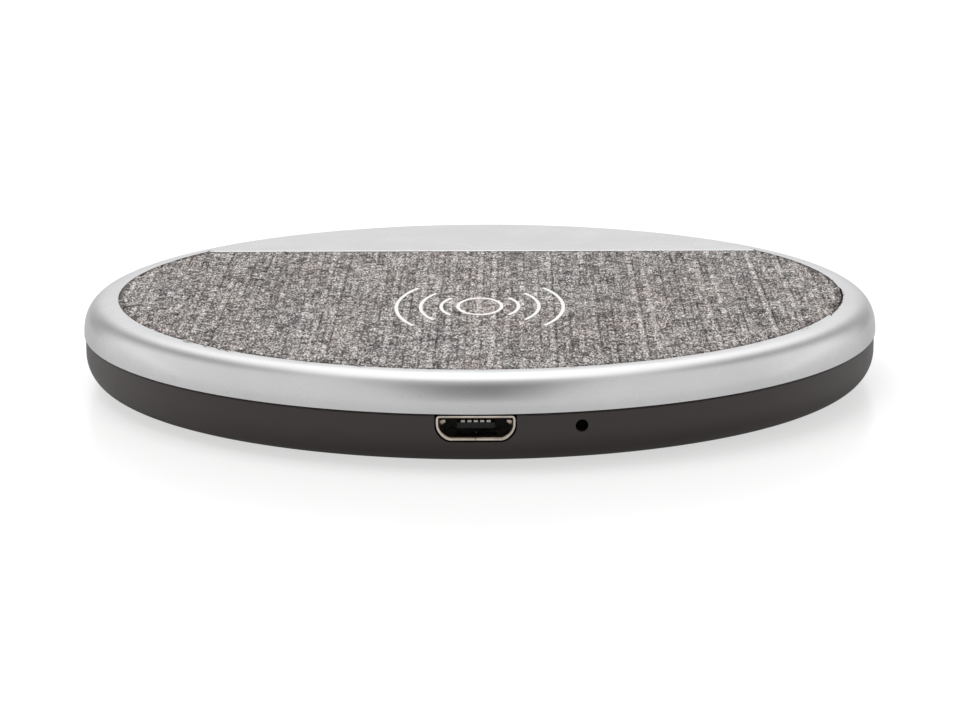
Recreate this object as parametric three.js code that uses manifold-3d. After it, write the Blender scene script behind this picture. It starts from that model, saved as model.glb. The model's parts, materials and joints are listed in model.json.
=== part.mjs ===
// A round wireless charging pad with a cloth face, in millimetres with +Z up.
// The origin is on the desk under the pad's centre, and the charging socket faces -Y.

import * as THREE from "three";
import { mergeVertices } from "three/addons/utils/BufferGeometryUtils.js";
import Module from "manifold-3d";

const wasm = await Module();
wasm.setup();

// ---------------------------------------------------------------- driving dimensions

// Casing, from the desk upwards
const padRadius = 45;
const footProud = 0.4; // the feet hold the base this far off the desk
const baseHeight = 5.3;
const seamGap = 0.15; // shadow line between base and bezel
const bezelHeight = 3.75;

// Bezel: silver ring with a flat segment behind the cloth
const lipWidth = 3.7; // plan width of the rounded edge
const edgeFullness = 2.5; // superellipse exponent of the rounded edge
const bezelWall = 1.5;
const bezelPlate = 1.3;
const bezelInnerChamfer = 1.3;
const chordDistance = 24.1; // from the pad's centre back to the segment's straight edge
const lipChamfer = 0.18;

// Cloth face and the plate that carries it
const clothRecess = 0.15; // the cloth lies this far below the bezel's lip
const clothThickness = 0.8;
const clothClearance = 0.1;
const clothTape = 0.15;
const platformClearance = 0.2;
const bezelTape = 0.15;
const carrierPlate = 1.2;
const carrierClearance = 0.35; // between the plate's rim and the bezel's chamfer
const coilRibHeight = 0.6;
const coilRibWidth = 0.9;
const coilRibSpan = 36; // degrees
const coilRibAngles = [70, 160, 230];

// Base shell
const baseInset = 0.15; // the base stands this far inside the bezel's edge
const baseRoundWidth = 3.5;
const baseRoundHeight = 3.5;
const baseFullness = 2.2;
const baseFloor = 1.4;
const baseWall = 2.5;
const baseInnerFillet = 1.4;
const tongueHeight = 1;
const tongueClearance = 0.2; // between the base's tongue and the bezel's wall

// Feet and case screws, one of each at every corner post
const footRadius = 4;
const footThickness = 1.1;
const footRecess = 0.8;
const footEdge = 0.2;
const footClearance = 0.2;
const footMargin = 0.8; // from a foot's recess to the start of the base's rounding
const postAngles = [45, 135, 225, 315];
const postRadius = 2.8;
const bossGap = 0.1; // between a post and the boss over it
const bossRadius = 2.5;
const screwRadius = 1;
const screwHeadRadius = 1.9;
const screwHeadHeight = 1.2;
const screwClearance = 0.15;
const screwSeat = 2.2; // height of the head's seat above the base's underside
const postSeat = 1.9; // height of solid post above a case screw's seat
const screwBite = 2.2; // length of thread in the boss
const screwTipRoom = 0.3;
const crossWidth = 0.5;
const crossLength = 2.2;
const crossDepth = 0.6;
const screwFaceShare = 0.75; // radius of a head's flat top, as a share of the head's
const screwSideShare = 0.6; // height of a head's upright side, as a share of the head's
const crossSpan = 1.3; // longest cross slot, as a multiple of the head's radius

// Micro-USB socket, wide side up
const socketTopGap = 0.1; // from the base's rim down to the socket's lip
const socketHeight = 2.54;
const socketHalfWidth = 4;
const socketCornerDrop = 1.15; // height of the upright part of each side
const socketBottomHalfWidth = 2.95;
const socketCorner = 0.35;
const shoulderFollow = 0.4; // how far the sides' slopes move down as the outline grows
const lowCornerFollow = 0.6; // how far they move out at the bottom
const roundingFollow = 0.5; // how far its rounding grows
const socketInset = 0.25; // the lip's face lies this far inside the base's radius
const lipDepth = 0.35;
const lipFlare = 0.22; // the lip stands out this far past the shell behind it
const sheet = 0.27; // sheet metal of the shell
const socketDepth = 5.6;
const socketClearance = 0.15; // gap round the lip in the base's notch
const tabWidth = 1.3;
const tabLength = 1.4;
const insulatorBack = 1.2; // length of the block behind the cavity
const insulatorFit = 0.05;
const bladeHalfWidth = 1.9;
const bladeThickness = 0.55;
const bladeDrop = 0.42; // from the cavity's ceiling down to the blade
const bladeSetback = 0.9; // from the lip's face to the blade's tip
const contactCount = 5;
const contactPitch = 0.65;
const contactWidth = 0.4;
const contactThickness = 0.18;
const contactSetback = 0.2;
const contactFoot = 1.1;

// Circuit board
const boardThickness = 1;
const socketSink = 0.84; // the socket's underside lies this far below the board's top
const boardWallGap = 1;
const boardPostGap = 0.6;
const boardRear = 35; // length of the board from front to rear
const boardNotchClearance = 0.3;
const boardScrewHeadRadius = 1.7;
const boardScrewHeadHeight = 0.9;
const boardScrewLength = 2;
const boardScrewInset = 2.5;
const boardScrewBehindFront = 11.5;
const boardPostRadius = 2.2;
const boardRestRadius = 1.6;
const boardRestX = 12;
const boardRestInset = 3;

// Charging coil and its ferrite
const coilWire = 1;
const coilTurns = 10.5;
const coilTurnGap = 0.05; // between one turn and the next
const coilOuterRadius = 21; // to the middle of the outermost turn
const coilTape = 0.1;
const ferriteThickness = 0.8;
const ferriteMargin = 0.8; // past the winding's outer edge
const ferriteSlotHalfWidth = 2.4;
const frontStrip = 9.3; // board in front of the ferrite, for the socket and tall parts
const leadX = 0.6; // the coil's inner lead, in the ferrite's slot
const leadEntry = 1.1; // where it lies in the slot, as a share of the innermost turn's radius
const outerLead = [
  [-0.4, -14.6, 0],
  [-0.1, -12.8, 0.1],
  [0.7, -9.6, 0.7],
  [0.95, -6.2, 1],
  [0.5, -2.8, 1],
]; // sideways from the outermost turn, along Y, and share of the climb from the board
const innerLead = [
  [0.84, 0.42, 0],
  [0.52, 0.66, 0],
  [0.18, 0.7, 0.1],
  [-0.04, 0.86, 0.5],
]; // shares of the innermost turn's radius, and of the drop into the slot
const leadDive = 0.3; // from the ferrite's edge to the start of the lead's dive to the board
const leadLanding = 0.9; // length of that dive
const leadPadSetback = 2.1; // from the ferrite's edge to the lead's end
const foamWidth = 9;
const foamLength = 12;
const foamX = 8.5;
const pillarRadius = 2;
const pillarPlaces = [
  [-10, 13.7],
  [10, 13.7],
  [0, 19],
]; // from the coil's centre
const pillarGap = 0.1;

// Temperature sensor at the coil's centre
const sensorX = -1.1;
const sensorBead = 0.48;
const sensorBeadSpread = 1.3; // its width as a share of its height
const sensorWire = 0.16;
const sensorWireGap = 0.7;
const sensorSetback = 1.2; // from the coil's centre to the bead
const sensorNeck = 0.9; // straight run of the leads from the bead
const sensorDrop = 2.2; // from the bead to where the leads lie in the slot
const sensorLanding = 1.6; // from there down to the board

// Board parts: width, length, height
const capacitorSize = [2.5, 3.2, 1.8];
const capacitorEnd = 0.6;
const capacitorLip = 0.06;
const capacitorCount = 4;
const capacitorFirstX = -7.6;
const capacitorStep = 2.8;
const inputCapacitorSize = [1.25, 2, 1];
const inputCapacitorXs = [6.5, 8.1];
const chipStandOff = 0.05;
const controllerSize = [4, 4, 0.8];
const driverSize = [3.3, 3.3, 0.8];
const ledSize = [2, 1, 0.86];
const resonantCapacitorSetback = 5.7; // each of these from the board's front edge
const inputCapacitorSetback = 5.4;
const rightDriverPlace = [11.3, 5.1];
const leftDriverOffset = [4.4, -0.9]; // from the left board screw
const controllerOffset = [-4.1, -2.3]; // from the right board screw

// Status light
const lightX = 10.75;
const lightHoleRadius = 0.65;
const lightPipeRadius = 0.58;
const lightPipeSetback = 0.7; // from the wall's outside to the pipe's tip
const lightPipeBoardGap = 0.2;
const ledGap = 0.5; // from the board's front edge to the lamp

// Facets
const caseSegments = 64;
const openingSegments = 40; // round the D-shaped opening
const footSegments = 24;
const screwSegments = 12;
const roundSegments = 16;
const edgeSteps = 5;
const coilStepsPerTurn = 18;

// ---------------------------------------------------------------- levels and places

const baseBottomZ = footProud;
const baseTopZ = baseBottomZ + baseHeight;
const bezelBottomZ = baseTopZ + seamGap;
const bezelTopZ = bezelBottomZ + bezelHeight;
const bezelUndersideZ = bezelTopZ - bezelPlate;
const flangeTopZ = bezelUndersideZ - bezelTape;
const carrierUndersideZ = flangeTopZ - carrierPlate;
const clothTopZ = bezelTopZ - clothRecess;
const clothBottomZ = clothTopZ - clothThickness;
const platformTopZ = clothBottomZ - clothTape;
const floorTopZ = baseBottomZ + baseFloor;
const socketTopZ = baseTopZ - socketTopGap;
const socketBottomZ = socketTopZ - socketHeight;
const socketMiddleZ = (socketTopZ + socketBottomZ) / 2;
const boardTopZ = socketBottomZ + socketSink;
const boardBottomZ = boardTopZ - boardThickness;
const coilPitch = coilWire + coilTurnGap;
const coilTopZ = carrierUndersideZ - coilTape;
const coilMiddleZ = coilTopZ - coilWire / 2;
const coilBottomZ = coilTopZ - coilWire;
const ferriteTopZ = coilBottomZ - coilTape;
const ferriteBottomZ = ferriteTopZ - ferriteThickness;

const openingRadius = padRadius - lipWidth;
const bezelInnerRadius = padRadius - bezelWall;
const flangeRadius =
  bezelInnerRadius - bezelInnerChamfer + bezelTape - carrierClearance;
const baseRadius = padRadius - baseInset;
const baseInnerRadius = baseRadius - baseWall;
const baseFlatRadius = baseRadius - baseRoundWidth;
const footRecessRadius = footRadius + footClearance;
const postRing = baseFlatRadius - footRecessRadius - footMargin;
const socketFrontY = socketInset - baseRadius;
const socketBackY = socketFrontY + socketDepth;
const boardRadius = baseInnerRadius - boardWallGap;
const boardFrontY = -boardRadius;
const boardHalfWidth =
  postRing * Math.SQRT1_2 - postRadius - boardPostGap;
const boardRearY = boardFrontY + boardRear;
const boardScrewX = boardHalfWidth - boardScrewInset;
const boardScrewY = boardFrontY + boardScrewBehindFront;
const ferriteRadius = coilOuterRadius + coilWire / 2 + ferriteMargin;
const coilCentreY = ferriteRadius + frontStrip - baseInnerRadius;
const lightWallY = -Math.sqrt(baseRadius ** 2 - lightX ** 2);
const boardEdgeAtLightY = -Math.sqrt(boardRadius ** 2 - lightX ** 2);

// ---------------------------------------------------------------- finishes

const finishes = {
  silver: { color: 0xc9cacd, roughness: 0.34, metalness: 0.85 },
  cloth: { color: 0x96908e, roughness: 0.95, metalness: 0 },
  casing: { color: 0x4a4543, roughness: 0.55, metalness: 0 },
  innerPlastic: { color: 0x2b2b2d, roughness: 0.6, metalness: 0 },
  tape: { color: 0xd9d4c4, roughness: 0.7, metalness: 0 },
  foam: { color: 0x3a3a3c, roughness: 1, metalness: 0 },
  rubber: { color: 0x232323, roughness: 0.85, metalness: 0 },
  copper: { color: 0xb4643a, roughness: 0.35, metalness: 0.9 },
  ferrite: { color: 0x35332f, roughness: 0.7, metalness: 0.1 },
  board: { color: 0x1f5a35, roughness: 0.5, metalness: 0 },
  chip: { color: 0x17181a, roughness: 0.5, metalness: 0 },
  ceramic: { color: 0x9b7b57, roughness: 0.5, metalness: 0 },
  steel: { color: 0xc8c2b8, roughness: 0.3, metalness: 1 },
  gold: { color: 0xd9b25c, roughness: 0.25, metalness: 1 },
  clear: { color: 0xdfe6e8, roughness: 0.08, metalness: 0 },
  lamp: { color: 0xf2f0e4, roughness: 0.4, metalness: 0 },
};
const materials = {};
for (const [name, look] of Object.entries(finishes)) {
  materials[name] = new THREE.MeshStandardMaterial({ name, ...look });
}

// ---------------------------------------------------------------- solids

// A closed geometry as a solid that can be joined and cut.
function solid(geometry) {
  const bare = geometry.index ? geometry.toNonIndexed() : geometry.clone();
  bare.deleteAttribute("normal");
  bare.deleteAttribute("uv");
  const merged = mergeVertices(bare, 1e-4);
  const corners = [];
  for (let i = 0; i < merged.index.count; i += 3) {
    const [a, b, c] = merged.index.array.slice(i, i + 3);
    if (a !== b && b !== c && c !== a) corners.push(a, b, c);
  }
  return new wasm.Manifold(
    new wasm.Mesh({
      numProp: 3,
      vertProperties: new Float32Array(merged.attributes.position.array),
      triVerts: new Uint32Array(corners),
    }),
  );
}

// A solid as a geometry with flat-shaded faces.
function geometryOf(made) {
  const mesh = made.getMesh();
  const shared = new THREE.BufferGeometry();
  shared.setAttribute(
    "position",
    new THREE.BufferAttribute(new Float32Array(mesh.vertProperties), 3),
  );
  shared.setIndex(new THREE.BufferAttribute(new Uint32Array(mesh.triVerts), 1));
  const faceted = shared.toNonIndexed();
  faceted.computeVertexNormals();
  return faceted;
}

// Turns a closed outline of [radius, height] points about the Z axis.
function turned(outline, segments) {
  const points = outline.map(([r, z]) => new THREE.Vector2(r, z));
  if (THREE.ShapeUtils.area(points) < 0) points.reverse();
  if (points[0].x > 0 || points[points.length - 1].x > 0) {
    points.push(points[0].clone());
  }
  const lathe = new THREE.LatheGeometry(points, segments);
  lathe.rotateX(Math.PI / 2);
  return solid(lathe);
}

// A shape in plan, raised between two levels.
function raised(shape, bottomZ, topZ, curveSegments = roundSegments) {
  const depth = topZ - bottomZ;
  const plate = new THREE.ExtrudeGeometry(shape, {
    depth,
    bevelEnabled: false,
    curveSegments,
  });
  plate.translate(0, 0, bottomZ);
  return solid(plate);
}

// A shape drawn on X and Z, as seen from the front, that runs back from frontY to backY.
function runBack(shape, frontY, backY, curveSegments = 3) {
  const bar = new THREE.ExtrudeGeometry(shape, {
    depth: backY - frontY,
    bevelEnabled: false,
    curveSegments,
  });
  bar.rotateX(Math.PI / 2);
  bar.translate(0, backY, 0);
  return solid(bar);
}

// A shape drawn on Y and Z that runs sideways, centred on x.
function runAcross(shape, x, width) {
  const bar = new THREE.ExtrudeGeometry(shape, {
    depth: width,
    bevelEnabled: false,
  });
  bar.translate(0, 0, -width / 2);
  bar.rotateY(Math.PI / 2);
  bar.rotateX(Math.PI / 2);
  bar.translate(x, 0, 0);
  return solid(bar);
}

function block(x0, x1, y0, y1, z0, z1) {
  const box = new THREE.BoxGeometry(x1 - x0, y1 - y0, z1 - z0);
  box.translate((x0 + x1) / 2, (y0 + y1) / 2, (z0 + z1) / 2);
  return solid(box);
}

function upright(x, y, radius, bottomZ, topZ, segments = roundSegments) {
  const rod = new THREE.CylinderGeometry(
    radius,
    radius,
    topZ - bottomZ,
    segments,
  );
  rod.rotateX(Math.PI / 2);
  rod.translate(x, y, (bottomZ + topZ) / 2);
  return solid(rod);
}

function rodAlongY(x, z, radius, frontY, backY, segments = screwSegments) {
  const rod = new THREE.CylinderGeometry(
    radius,
    radius,
    backY - frontY,
    segments,
  );
  rod.translate(x, (frontY + backY) / 2, z);
  return solid(rod);
}

// A round wire through a list of points.
function wire(points, radius, steps, sides = 6) {
  const path = new THREE.CatmullRomCurve3(points, false, "centripetal");
  path.arcLengthDivisions = steps * 12;
  const ring = [];
  for (let i = 0; i < sides; i++) {
    const angle = (2 * Math.PI * i) / sides;
    ring.push(
      new THREE.Vector2(Math.cos(angle) * radius, Math.sin(angle) * radius),
    );
  }
  return solid(
    new THREE.ExtrudeGeometry(new THREE.Shape(ring), {
      steps,
      extrudePath: path,
    }),
  );
}

function joined(parts) {
  return parts.reduce((sum, part) => sum.add(part));
}

function cut(body, cutters) {
  return cutters.reduce((rest, cutter) => rest.subtract(cutter), body);
}

// Quarter superellipse from the top of a rounded edge down to its widest point.
function roundedEdge(topRadius, width, middleZ, height, fullness) {
  const points = [];
  for (let i = 0; i <= edgeSteps; i++) {
    const turn = (Math.PI / 2) * (i / edgeSteps);
    points.push([
      topRadius + width * Math.sin(turn) ** (2 / fullness),
      middleZ + height * Math.cos(turn) ** (2 / fullness),
    ]);
  }
  return points;
}

// A circle cut off by a straight edge at the back.
function dShape(radius, chord) {
  const corner = Math.asin(chord / radius);
  const shape = new THREE.Shape();
  shape.absarc(0, 0, radius, Math.PI - corner, 2 * Math.PI + corner, false);
  shape.closePath();
  return shape;
}

// A closed outline with its corners rounded.
function roundedOutline(corners, radius) {
  const shape = new THREE.Shape();
  corners.forEach((corner, i) => {
    const here = new THREE.Vector2(...corner);
    const before = new THREE.Vector2(
      ...corners[(i + corners.length - 1) % corners.length],
    );
    const after = new THREE.Vector2(...corners[(i + 1) % corners.length]);
    const start = here
      .clone()
      .add(before.sub(here).normalize().multiplyScalar(radius));
    const end = here
      .clone()
      .add(after.sub(here).normalize().multiplyScalar(radius));
    if (i === 0) shape.moveTo(start.x, start.y);
    else shape.lineTo(start.x, start.y);
    shape.quadraticCurveTo(here.x, here.y, end.x, end.y);
  });
  shape.closePath();
  return shape;
}

function atAngle(radius, degrees) {
  const angle = THREE.MathUtils.degToRad(degrees);
  return [radius * Math.cos(angle), radius * Math.sin(angle)];
}

// ---------------------------------------------------------------- assembly

const pad = new THREE.Group();
pad.name = "wireless_charging_pad";

function addPiece(name, made, finish) {
  const mesh = new THREE.Mesh(geometryOf(made), materials[finish]);
  mesh.name = name;
  pad.add(mesh);
}

// ---------------------------------------------------------------- top side

function bezel() {
  const outline = [
    [0, bezelTopZ],
    ...roundedEdge(
      openingRadius,
      lipWidth,
      bezelBottomZ,
      bezelHeight,
      edgeFullness,
    ),
    [bezelInnerRadius, bezelBottomZ],
    [bezelInnerRadius, bezelUndersideZ - bezelInnerChamfer],
    [bezelInnerRadius - bezelInnerChamfer, bezelUndersideZ],
    [0, bezelUndersideZ],
  ];
  const opening = raised(
    dShape(openingRadius, chordDistance),
    bezelUndersideZ - 1,
    bezelTopZ + 1,
    openingSegments,
  );
  const chamfer = new THREE.ExtrudeGeometry(
    dShape(openingRadius, chordDistance),
    {
      depth: 1,
      bevelThickness: lipChamfer,
      bevelSize: lipChamfer,
      bevelSegments: 1,
      curveSegments: openingSegments,
    },
  );
  chamfer.translate(0, 0, bezelTopZ);
  return cut(turned(outline, caseSegments), [opening, solid(chamfer)]);
}

// Tape between the bezel's underside and the carrier: the ring and the rear segment.
function bezelAdhesive() {
  const disc = upright(
    0,
    0,
    flangeRadius,
    flangeTopZ,
    bezelUndersideZ,
    caseSegments,
  );
  const hole = raised(
    dShape(openingRadius, chordDistance),
    flangeTopZ - 1,
    bezelUndersideZ + 1,
    openingSegments,
  );
  return disc.subtract(hole);
}

function clothCover() {
  return raised(
    dShape(openingRadius - clothClearance, chordDistance - clothClearance),
    clothBottomZ,
    clothTopZ,
    openingSegments,
  );
}

function clothAdhesive() {
  return raised(
    dShape(openingRadius - platformClearance, chordDistance - platformClearance),
    platformTopZ,
    clothBottomZ,
    openingSegments,
  );
}

// The disc under cloth and bezel, with screw bosses and the coil's locating ribs below it.
function carrier() {
  const flange = upright(
    0,
    0,
    flangeRadius,
    carrierUndersideZ,
    flangeTopZ,
    caseSegments,
  );
  const platform = raised(
    dShape(openingRadius - platformClearance, chordDistance - platformClearance),
    flangeTopZ - carrierPlate / 2,
    platformTopZ,
    openingSegments,
  );
  const bossBottomZ = baseBottomZ + screwSeat + postSeat + bossGap;
  const bosses = [];
  const pilots = [];
  for (const angle of postAngles) {
    const [x, y] = atAngle(postRing, angle);
    bosses.push(
      upright(x, y, bossRadius, bossBottomZ, flangeTopZ - carrierPlate / 2),
    );
    pilots.push(
      upright(
        x,
        y,
        screwRadius + screwClearance,
        bossBottomZ - 1,
        bossBottomZ + screwBite + screwTipRoom,
        screwSegments,
      ),
    );
  }
  const ribs = coilRibAngles.map((angle) => coilRib(angle));
  return cut(joined([flange, platform, ...bosses, ...ribs]), pilots);
}

function coilRib(middleAngle) {
  const inner = ferriteRadius;
  const outer = inner + coilRibWidth;
  const from = THREE.MathUtils.degToRad(middleAngle - coilRibSpan / 2);
  const to = THREE.MathUtils.degToRad(middleAngle + coilRibSpan / 2);
  const shape = new THREE.Shape();
  shape.absarc(0, coilCentreY, outer, from, to, false);
  shape.absarc(0, coilCentreY, inner, to, from, true);
  shape.closePath();
  return raised(
    shape,
    carrierUndersideZ - coilRibHeight,
    carrierUndersideZ + carrierPlate / 2,
    6,
  );
}

// ---------------------------------------------------------------- base, feet and screws

function baseShell() {
  const rounding = roundedEdge(
    baseFlatRadius,
    baseRoundWidth,
    0,
    baseRoundHeight,
    baseFullness,
  );
  const corner = rounding.map(([r, z]) => [
    r,
    baseBottomZ + baseRoundHeight - z,
  ]);
  const tongueRadius = bezelInnerRadius - tongueClearance;
  const outline = [
    [0, baseBottomZ],
    ...corner,
    [baseRadius, baseTopZ],
    [tongueRadius, baseTopZ],
    [tongueRadius, baseTopZ + tongueHeight],
    [baseInnerRadius, baseTopZ + tongueHeight],
    [baseInnerRadius, floorTopZ + baseInnerFillet],
    [baseInnerRadius - baseInnerFillet, floorTopZ],
    [0, floorTopZ],
  ];
  const shell = turned(outline, caseSegments);
  return cut(joined([shell, ...basePosts()]), baseCuts());
}

function basePosts() {
  const footingZ = floorTopZ - baseFloor / 2;
  const posts = [];
  for (const angle of postAngles) {
    const [x, y] = atAngle(postRing, angle);
    posts.push(
      upright(x, y, postRadius, footingZ, baseBottomZ + screwSeat + postSeat),
    );
  }
  for (const side of [-1, 1]) {
    posts.push(
      upright(
        side * boardScrewX,
        boardScrewY,
        boardPostRadius,
        footingZ,
        boardBottomZ,
      ),
      upright(
        side * boardRestX,
        boardRearY - boardRestInset,
        boardRestRadius,
        footingZ,
        boardBottomZ,
      ),
    );
  }
  for (const [x, y] of pillarPlaces) {
    posts.push(
      upright(
        x,
        coilCentreY + y,
        pillarRadius,
        footingZ,
        ferriteBottomZ - pillarGap,
      ),
    );
  }
  return posts;
}

function baseCuts() {
  const cutters = [];
  const headRoom = screwHeadRadius + screwClearance;
  for (const angle of postAngles) {
    const [x, y] = atAngle(postRing, angle);
    cutters.push(
      upright(
        x,
        y,
        footRecessRadius,
        baseBottomZ - 1,
        baseBottomZ + footRecess,
        footSegments,
      ),
      upright(x, y, headRoom, baseBottomZ, baseBottomZ + screwSeat),
      upright(
        x,
        y,
        screwRadius + screwClearance,
        baseBottomZ,
        baseTopZ,
        screwSegments,
      ),
    );
  }
  for (const side of [-1, 1]) {
    cutters.push(
      upright(
        side * boardScrewX,
        boardScrewY,
        screwRadius + screwClearance,
        boardBottomZ - boardScrewLength + boardThickness - screwTipRoom,
        baseTopZ,
        screwSegments,
      ),
    );
  }
  cutters.push(
    socketNotch(),
    rodAlongY(
      lightX,
      socketMiddleZ,
      lightHoleRadius,
      -baseRadius,
      -baseInnerRadius + baseWall,
      roundSegments,
    ),
  );
  return cutters;
}

// ---------------------------------------------------------------- socket

// The socket's outline seen from the front, grown outwards by an amount.
function socketOutline(grow, raise = 0) {
  const shoulderZ = socketTopZ - socketCornerDrop - grow * shoulderFollow;
  const topZ = socketTopZ + grow + raise;
  const bottomZ = socketBottomZ - grow;
  const half = socketHalfWidth + grow;
  const low = socketBottomHalfWidth + grow * lowCornerFollow;
  return roundedOutline(
    [
      [-low, bottomZ],
      [low, bottomZ],
      [half, shoulderZ],
      [half, topZ],
      [-half, topZ],
      [-half, shoulderZ],
    ],
    Math.max(socketCorner + grow * roundingFollow, socketCorner / 3),
  );
}

// Half the width of the shell's sloping sides at a height below their shoulders.
function socketSideX(z) {
  const bottomZ = socketBottomZ + lipFlare;
  const shoulderZ = socketTopZ - socketCornerDrop + lipFlare * shoulderFollow;
  const low = socketBottomHalfWidth - lipFlare * lowCornerFollow;
  const rise = (z - bottomZ) / (shoulderZ - bottomZ);
  return low + (socketHalfWidth - lipFlare - low) * Math.min(rise, 1);
}

// The way for the socket through the base's wall, open at the rim.
function socketNotch() {
  return runBack(
    socketOutline(socketClearance, tongueHeight + socketTopGap + 1),
    -baseRadius - 1,
    -baseInnerRadius + baseWall,
  );
}

function socketShell() {
  const lip = runBack(
    socketOutline(0),
    socketFrontY,
    socketFrontY + lipDepth,
  );
  const body = runBack(socketOutline(-lipFlare), socketFrontY, socketBackY);
  const tabX = socketSideX(boardTopZ) - sheet / 2;
  const tabs = [-1, 1].map((side) => {
    const near = side * tabX;
    const far = side * (tabX + tabWidth);
    return block(
      Math.min(near, far),
      Math.max(near, far),
      socketBackY - tabLength,
      socketBackY,
      boardTopZ,
      boardTopZ + sheet,
    );
  });
  const mouth = runBack(
    socketOutline(-sheet),
    socketFrontY - 1,
    socketFrontY + lipDepth,
  );
  const cavity = runBack(
    socketOutline(-lipFlare - sheet),
    socketFrontY,
    socketBackY + 1,
  );
  return cut(joined([lip, body, ...tabs]), [mouth, cavity]);
}

const cavityTopZ = socketTopZ - lipFlare - sheet;
const bladeTopZ = cavityTopZ - bladeDrop;

function contactX(i) {
  return (i - (contactCount - 1) / 2) * contactPitch;
}

// The black block that closes the cavity, with the blade that carries the contacts.
function socketInsulator() {
  const blockFrontY = socketBackY - insulatorBack;
  const back = runBack(
    socketOutline(-lipFlare - sheet - insulatorFit),
    blockFrontY,
    socketBackY,
  );
  const blade = block(
    -bladeHalfWidth,
    bladeHalfWidth,
    socketFrontY + bladeSetback,
    socketBackY - insulatorBack / 2,
    bladeTopZ - bladeThickness,
    bladeTopZ,
  );
  const slots = [];
  for (let i = 0; i < contactCount; i++) {
    const half = contactWidth / 2 + insulatorFit / 2;
    slots.push(
      block(
        contactX(i) - half,
        contactX(i) + half,
        blockFrontY - 1,
        socketBackY + 1,
        bladeTopZ,
        bladeTopZ + contactThickness + insulatorFit,
      ),
    );
  }
  return cut(joined([back, blade]), slots);
}

// One contact: along the blade, through the block and down to the board.
function socketContact(i) {
  const tipY = socketFrontY + bladeSetback + contactSetback;
  const bendY = socketBackY + contactThickness;
  const footY = bendY + contactThickness + contactFoot;
  const shape = new THREE.Shape();
  const outline = [
    [tipY, bladeTopZ],
    [bendY, bladeTopZ],
    [bendY, boardTopZ],
    [footY, boardTopZ],
    [footY, boardTopZ + contactThickness],
    [bendY + contactThickness, boardTopZ + contactThickness],
    [bendY + contactThickness, bladeTopZ + contactThickness],
    [tipY, bladeTopZ + contactThickness],
  ];
  shape.setFromPoints(outline.map(([y, z]) => new THREE.Vector2(y, z)));
  return runAcross(shape, contactX(i), contactWidth);
}

// ---------------------------------------------------------------- feet and screws

function foot(angle) {
  const [x, y] = atAngle(postRing, angle);
  const outline = [
    [0, 0],
    [footRadius - footEdge, 0],
    [footRadius, footEdge],
    [footRadius, footThickness],
    [0, footThickness],
  ];
  return turned(outline, footSegments).translate([x, y, 0]);
}

// A pan-head screw that points up, with its seat at z = 0.
function screw(headRadius, headHeight, length) {
  const tip = screwRadius / 2;
  const outline = [
    [0, -headHeight],
    [headRadius * screwFaceShare, -headHeight],
    [headRadius, -headHeight * screwSideShare],
    [headRadius, 0],
    [screwRadius, 0],
    [screwRadius, length - tip],
    [tip, length],
    [0, length],
  ];
  const depth = Math.min(crossDepth, headHeight * screwSideShare);
  const half = Math.min(crossLength, headRadius * crossSpan) / 2;
  const thin = crossWidth / 2;
  const slots = [
    block(-half, half, -thin, thin, -headHeight - 1, depth - headHeight),
    block(-thin, thin, -half, half, -headHeight - 1, depth - headHeight),
  ];
  return cut(turned(outline, screwSegments), slots);
}

function caseScrew(angle) {
  const [x, y] = atAngle(postRing, angle);
  const length = postSeat + bossGap + screwBite;
  return screw(screwHeadRadius, screwHeadHeight, length).translate([
    x,
    y,
    baseBottomZ + screwSeat,
  ]);
}

function boardScrew(side) {
  return screw(boardScrewHeadRadius, boardScrewHeadHeight, boardScrewLength)
    .rotate([180, 0, 0])
    .translate([side * boardScrewX, boardScrewY, boardTopZ]);
}

// ---------------------------------------------------------------- board and its parts

function circuitBoard() {
  const strip = block(
    -boardHalfWidth,
    boardHalfWidth,
    boardFrontY,
    boardRearY,
    boardBottomZ,
    boardTopZ,
  );
  const disc = upright(
    0,
    0,
    boardRadius,
    boardBottomZ - 1,
    boardTopZ + 1,
    caseSegments,
  );
  const notchX = socketSideX(boardTopZ) + boardNotchClearance;
  const notch = block(
    -notchX,
    notchX,
    boardFrontY - 1,
    socketBackY + boardNotchClearance / 2,
    boardBottomZ - 1,
    boardTopZ + 1,
  );
  const holes = [-1, 1].map((side) =>
    upright(
      side * boardScrewX,
      boardScrewY,
      screwRadius + screwClearance,
      boardBottomZ - 1,
      boardTopZ + 1,
      screwSegments,
    ),
  );
  return cut(strip.intersect(disc), [notch, ...holes]);
}

// A ceramic chip capacitor, its metal ends a little larger than its middle.
function chipCapacitor(x, y, size) {
  const [width, length, height] = size;
  const half = length / 2;
  const end = Math.min(capacitorEnd, length / 4);
  const lip = capacitorLip;
  const bottomZ = boardTopZ + chipStandOff;
  const parts = [
    block(
      x - width / 2 + lip,
      x + width / 2 - lip,
      y - half + end / 2,
      y + half - end / 2,
      bottomZ + lip,
      bottomZ + height - lip,
    ),
  ];
  for (const side of [-1, 1]) {
    const outer = y + side * half;
    const inner = y + side * (half - end);
    parts.push(
      block(
        x - width / 2,
        x + width / 2,
        Math.min(outer, inner),
        Math.max(outer, inner),
        bottomZ,
        bottomZ + height,
      ),
    );
  }
  return joined(parts);
}

function chip(x, y, [width, length, height]) {
  const bottomZ = boardTopZ + chipStandOff;
  return block(
    x - width / 2,
    x + width / 2,
    y - length / 2,
    y + length / 2,
    bottomZ,
    bottomZ + height,
  );
}

function lightPipe() {
  return rodAlongY(
    lightX,
    socketMiddleZ,
    lightPipeRadius,
    lightWallY + lightPipeSetback,
    boardEdgeAtLightY - lightPipeBoardGap,
  );
}

// ---------------------------------------------------------------- coil, ferrite and sensor

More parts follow.
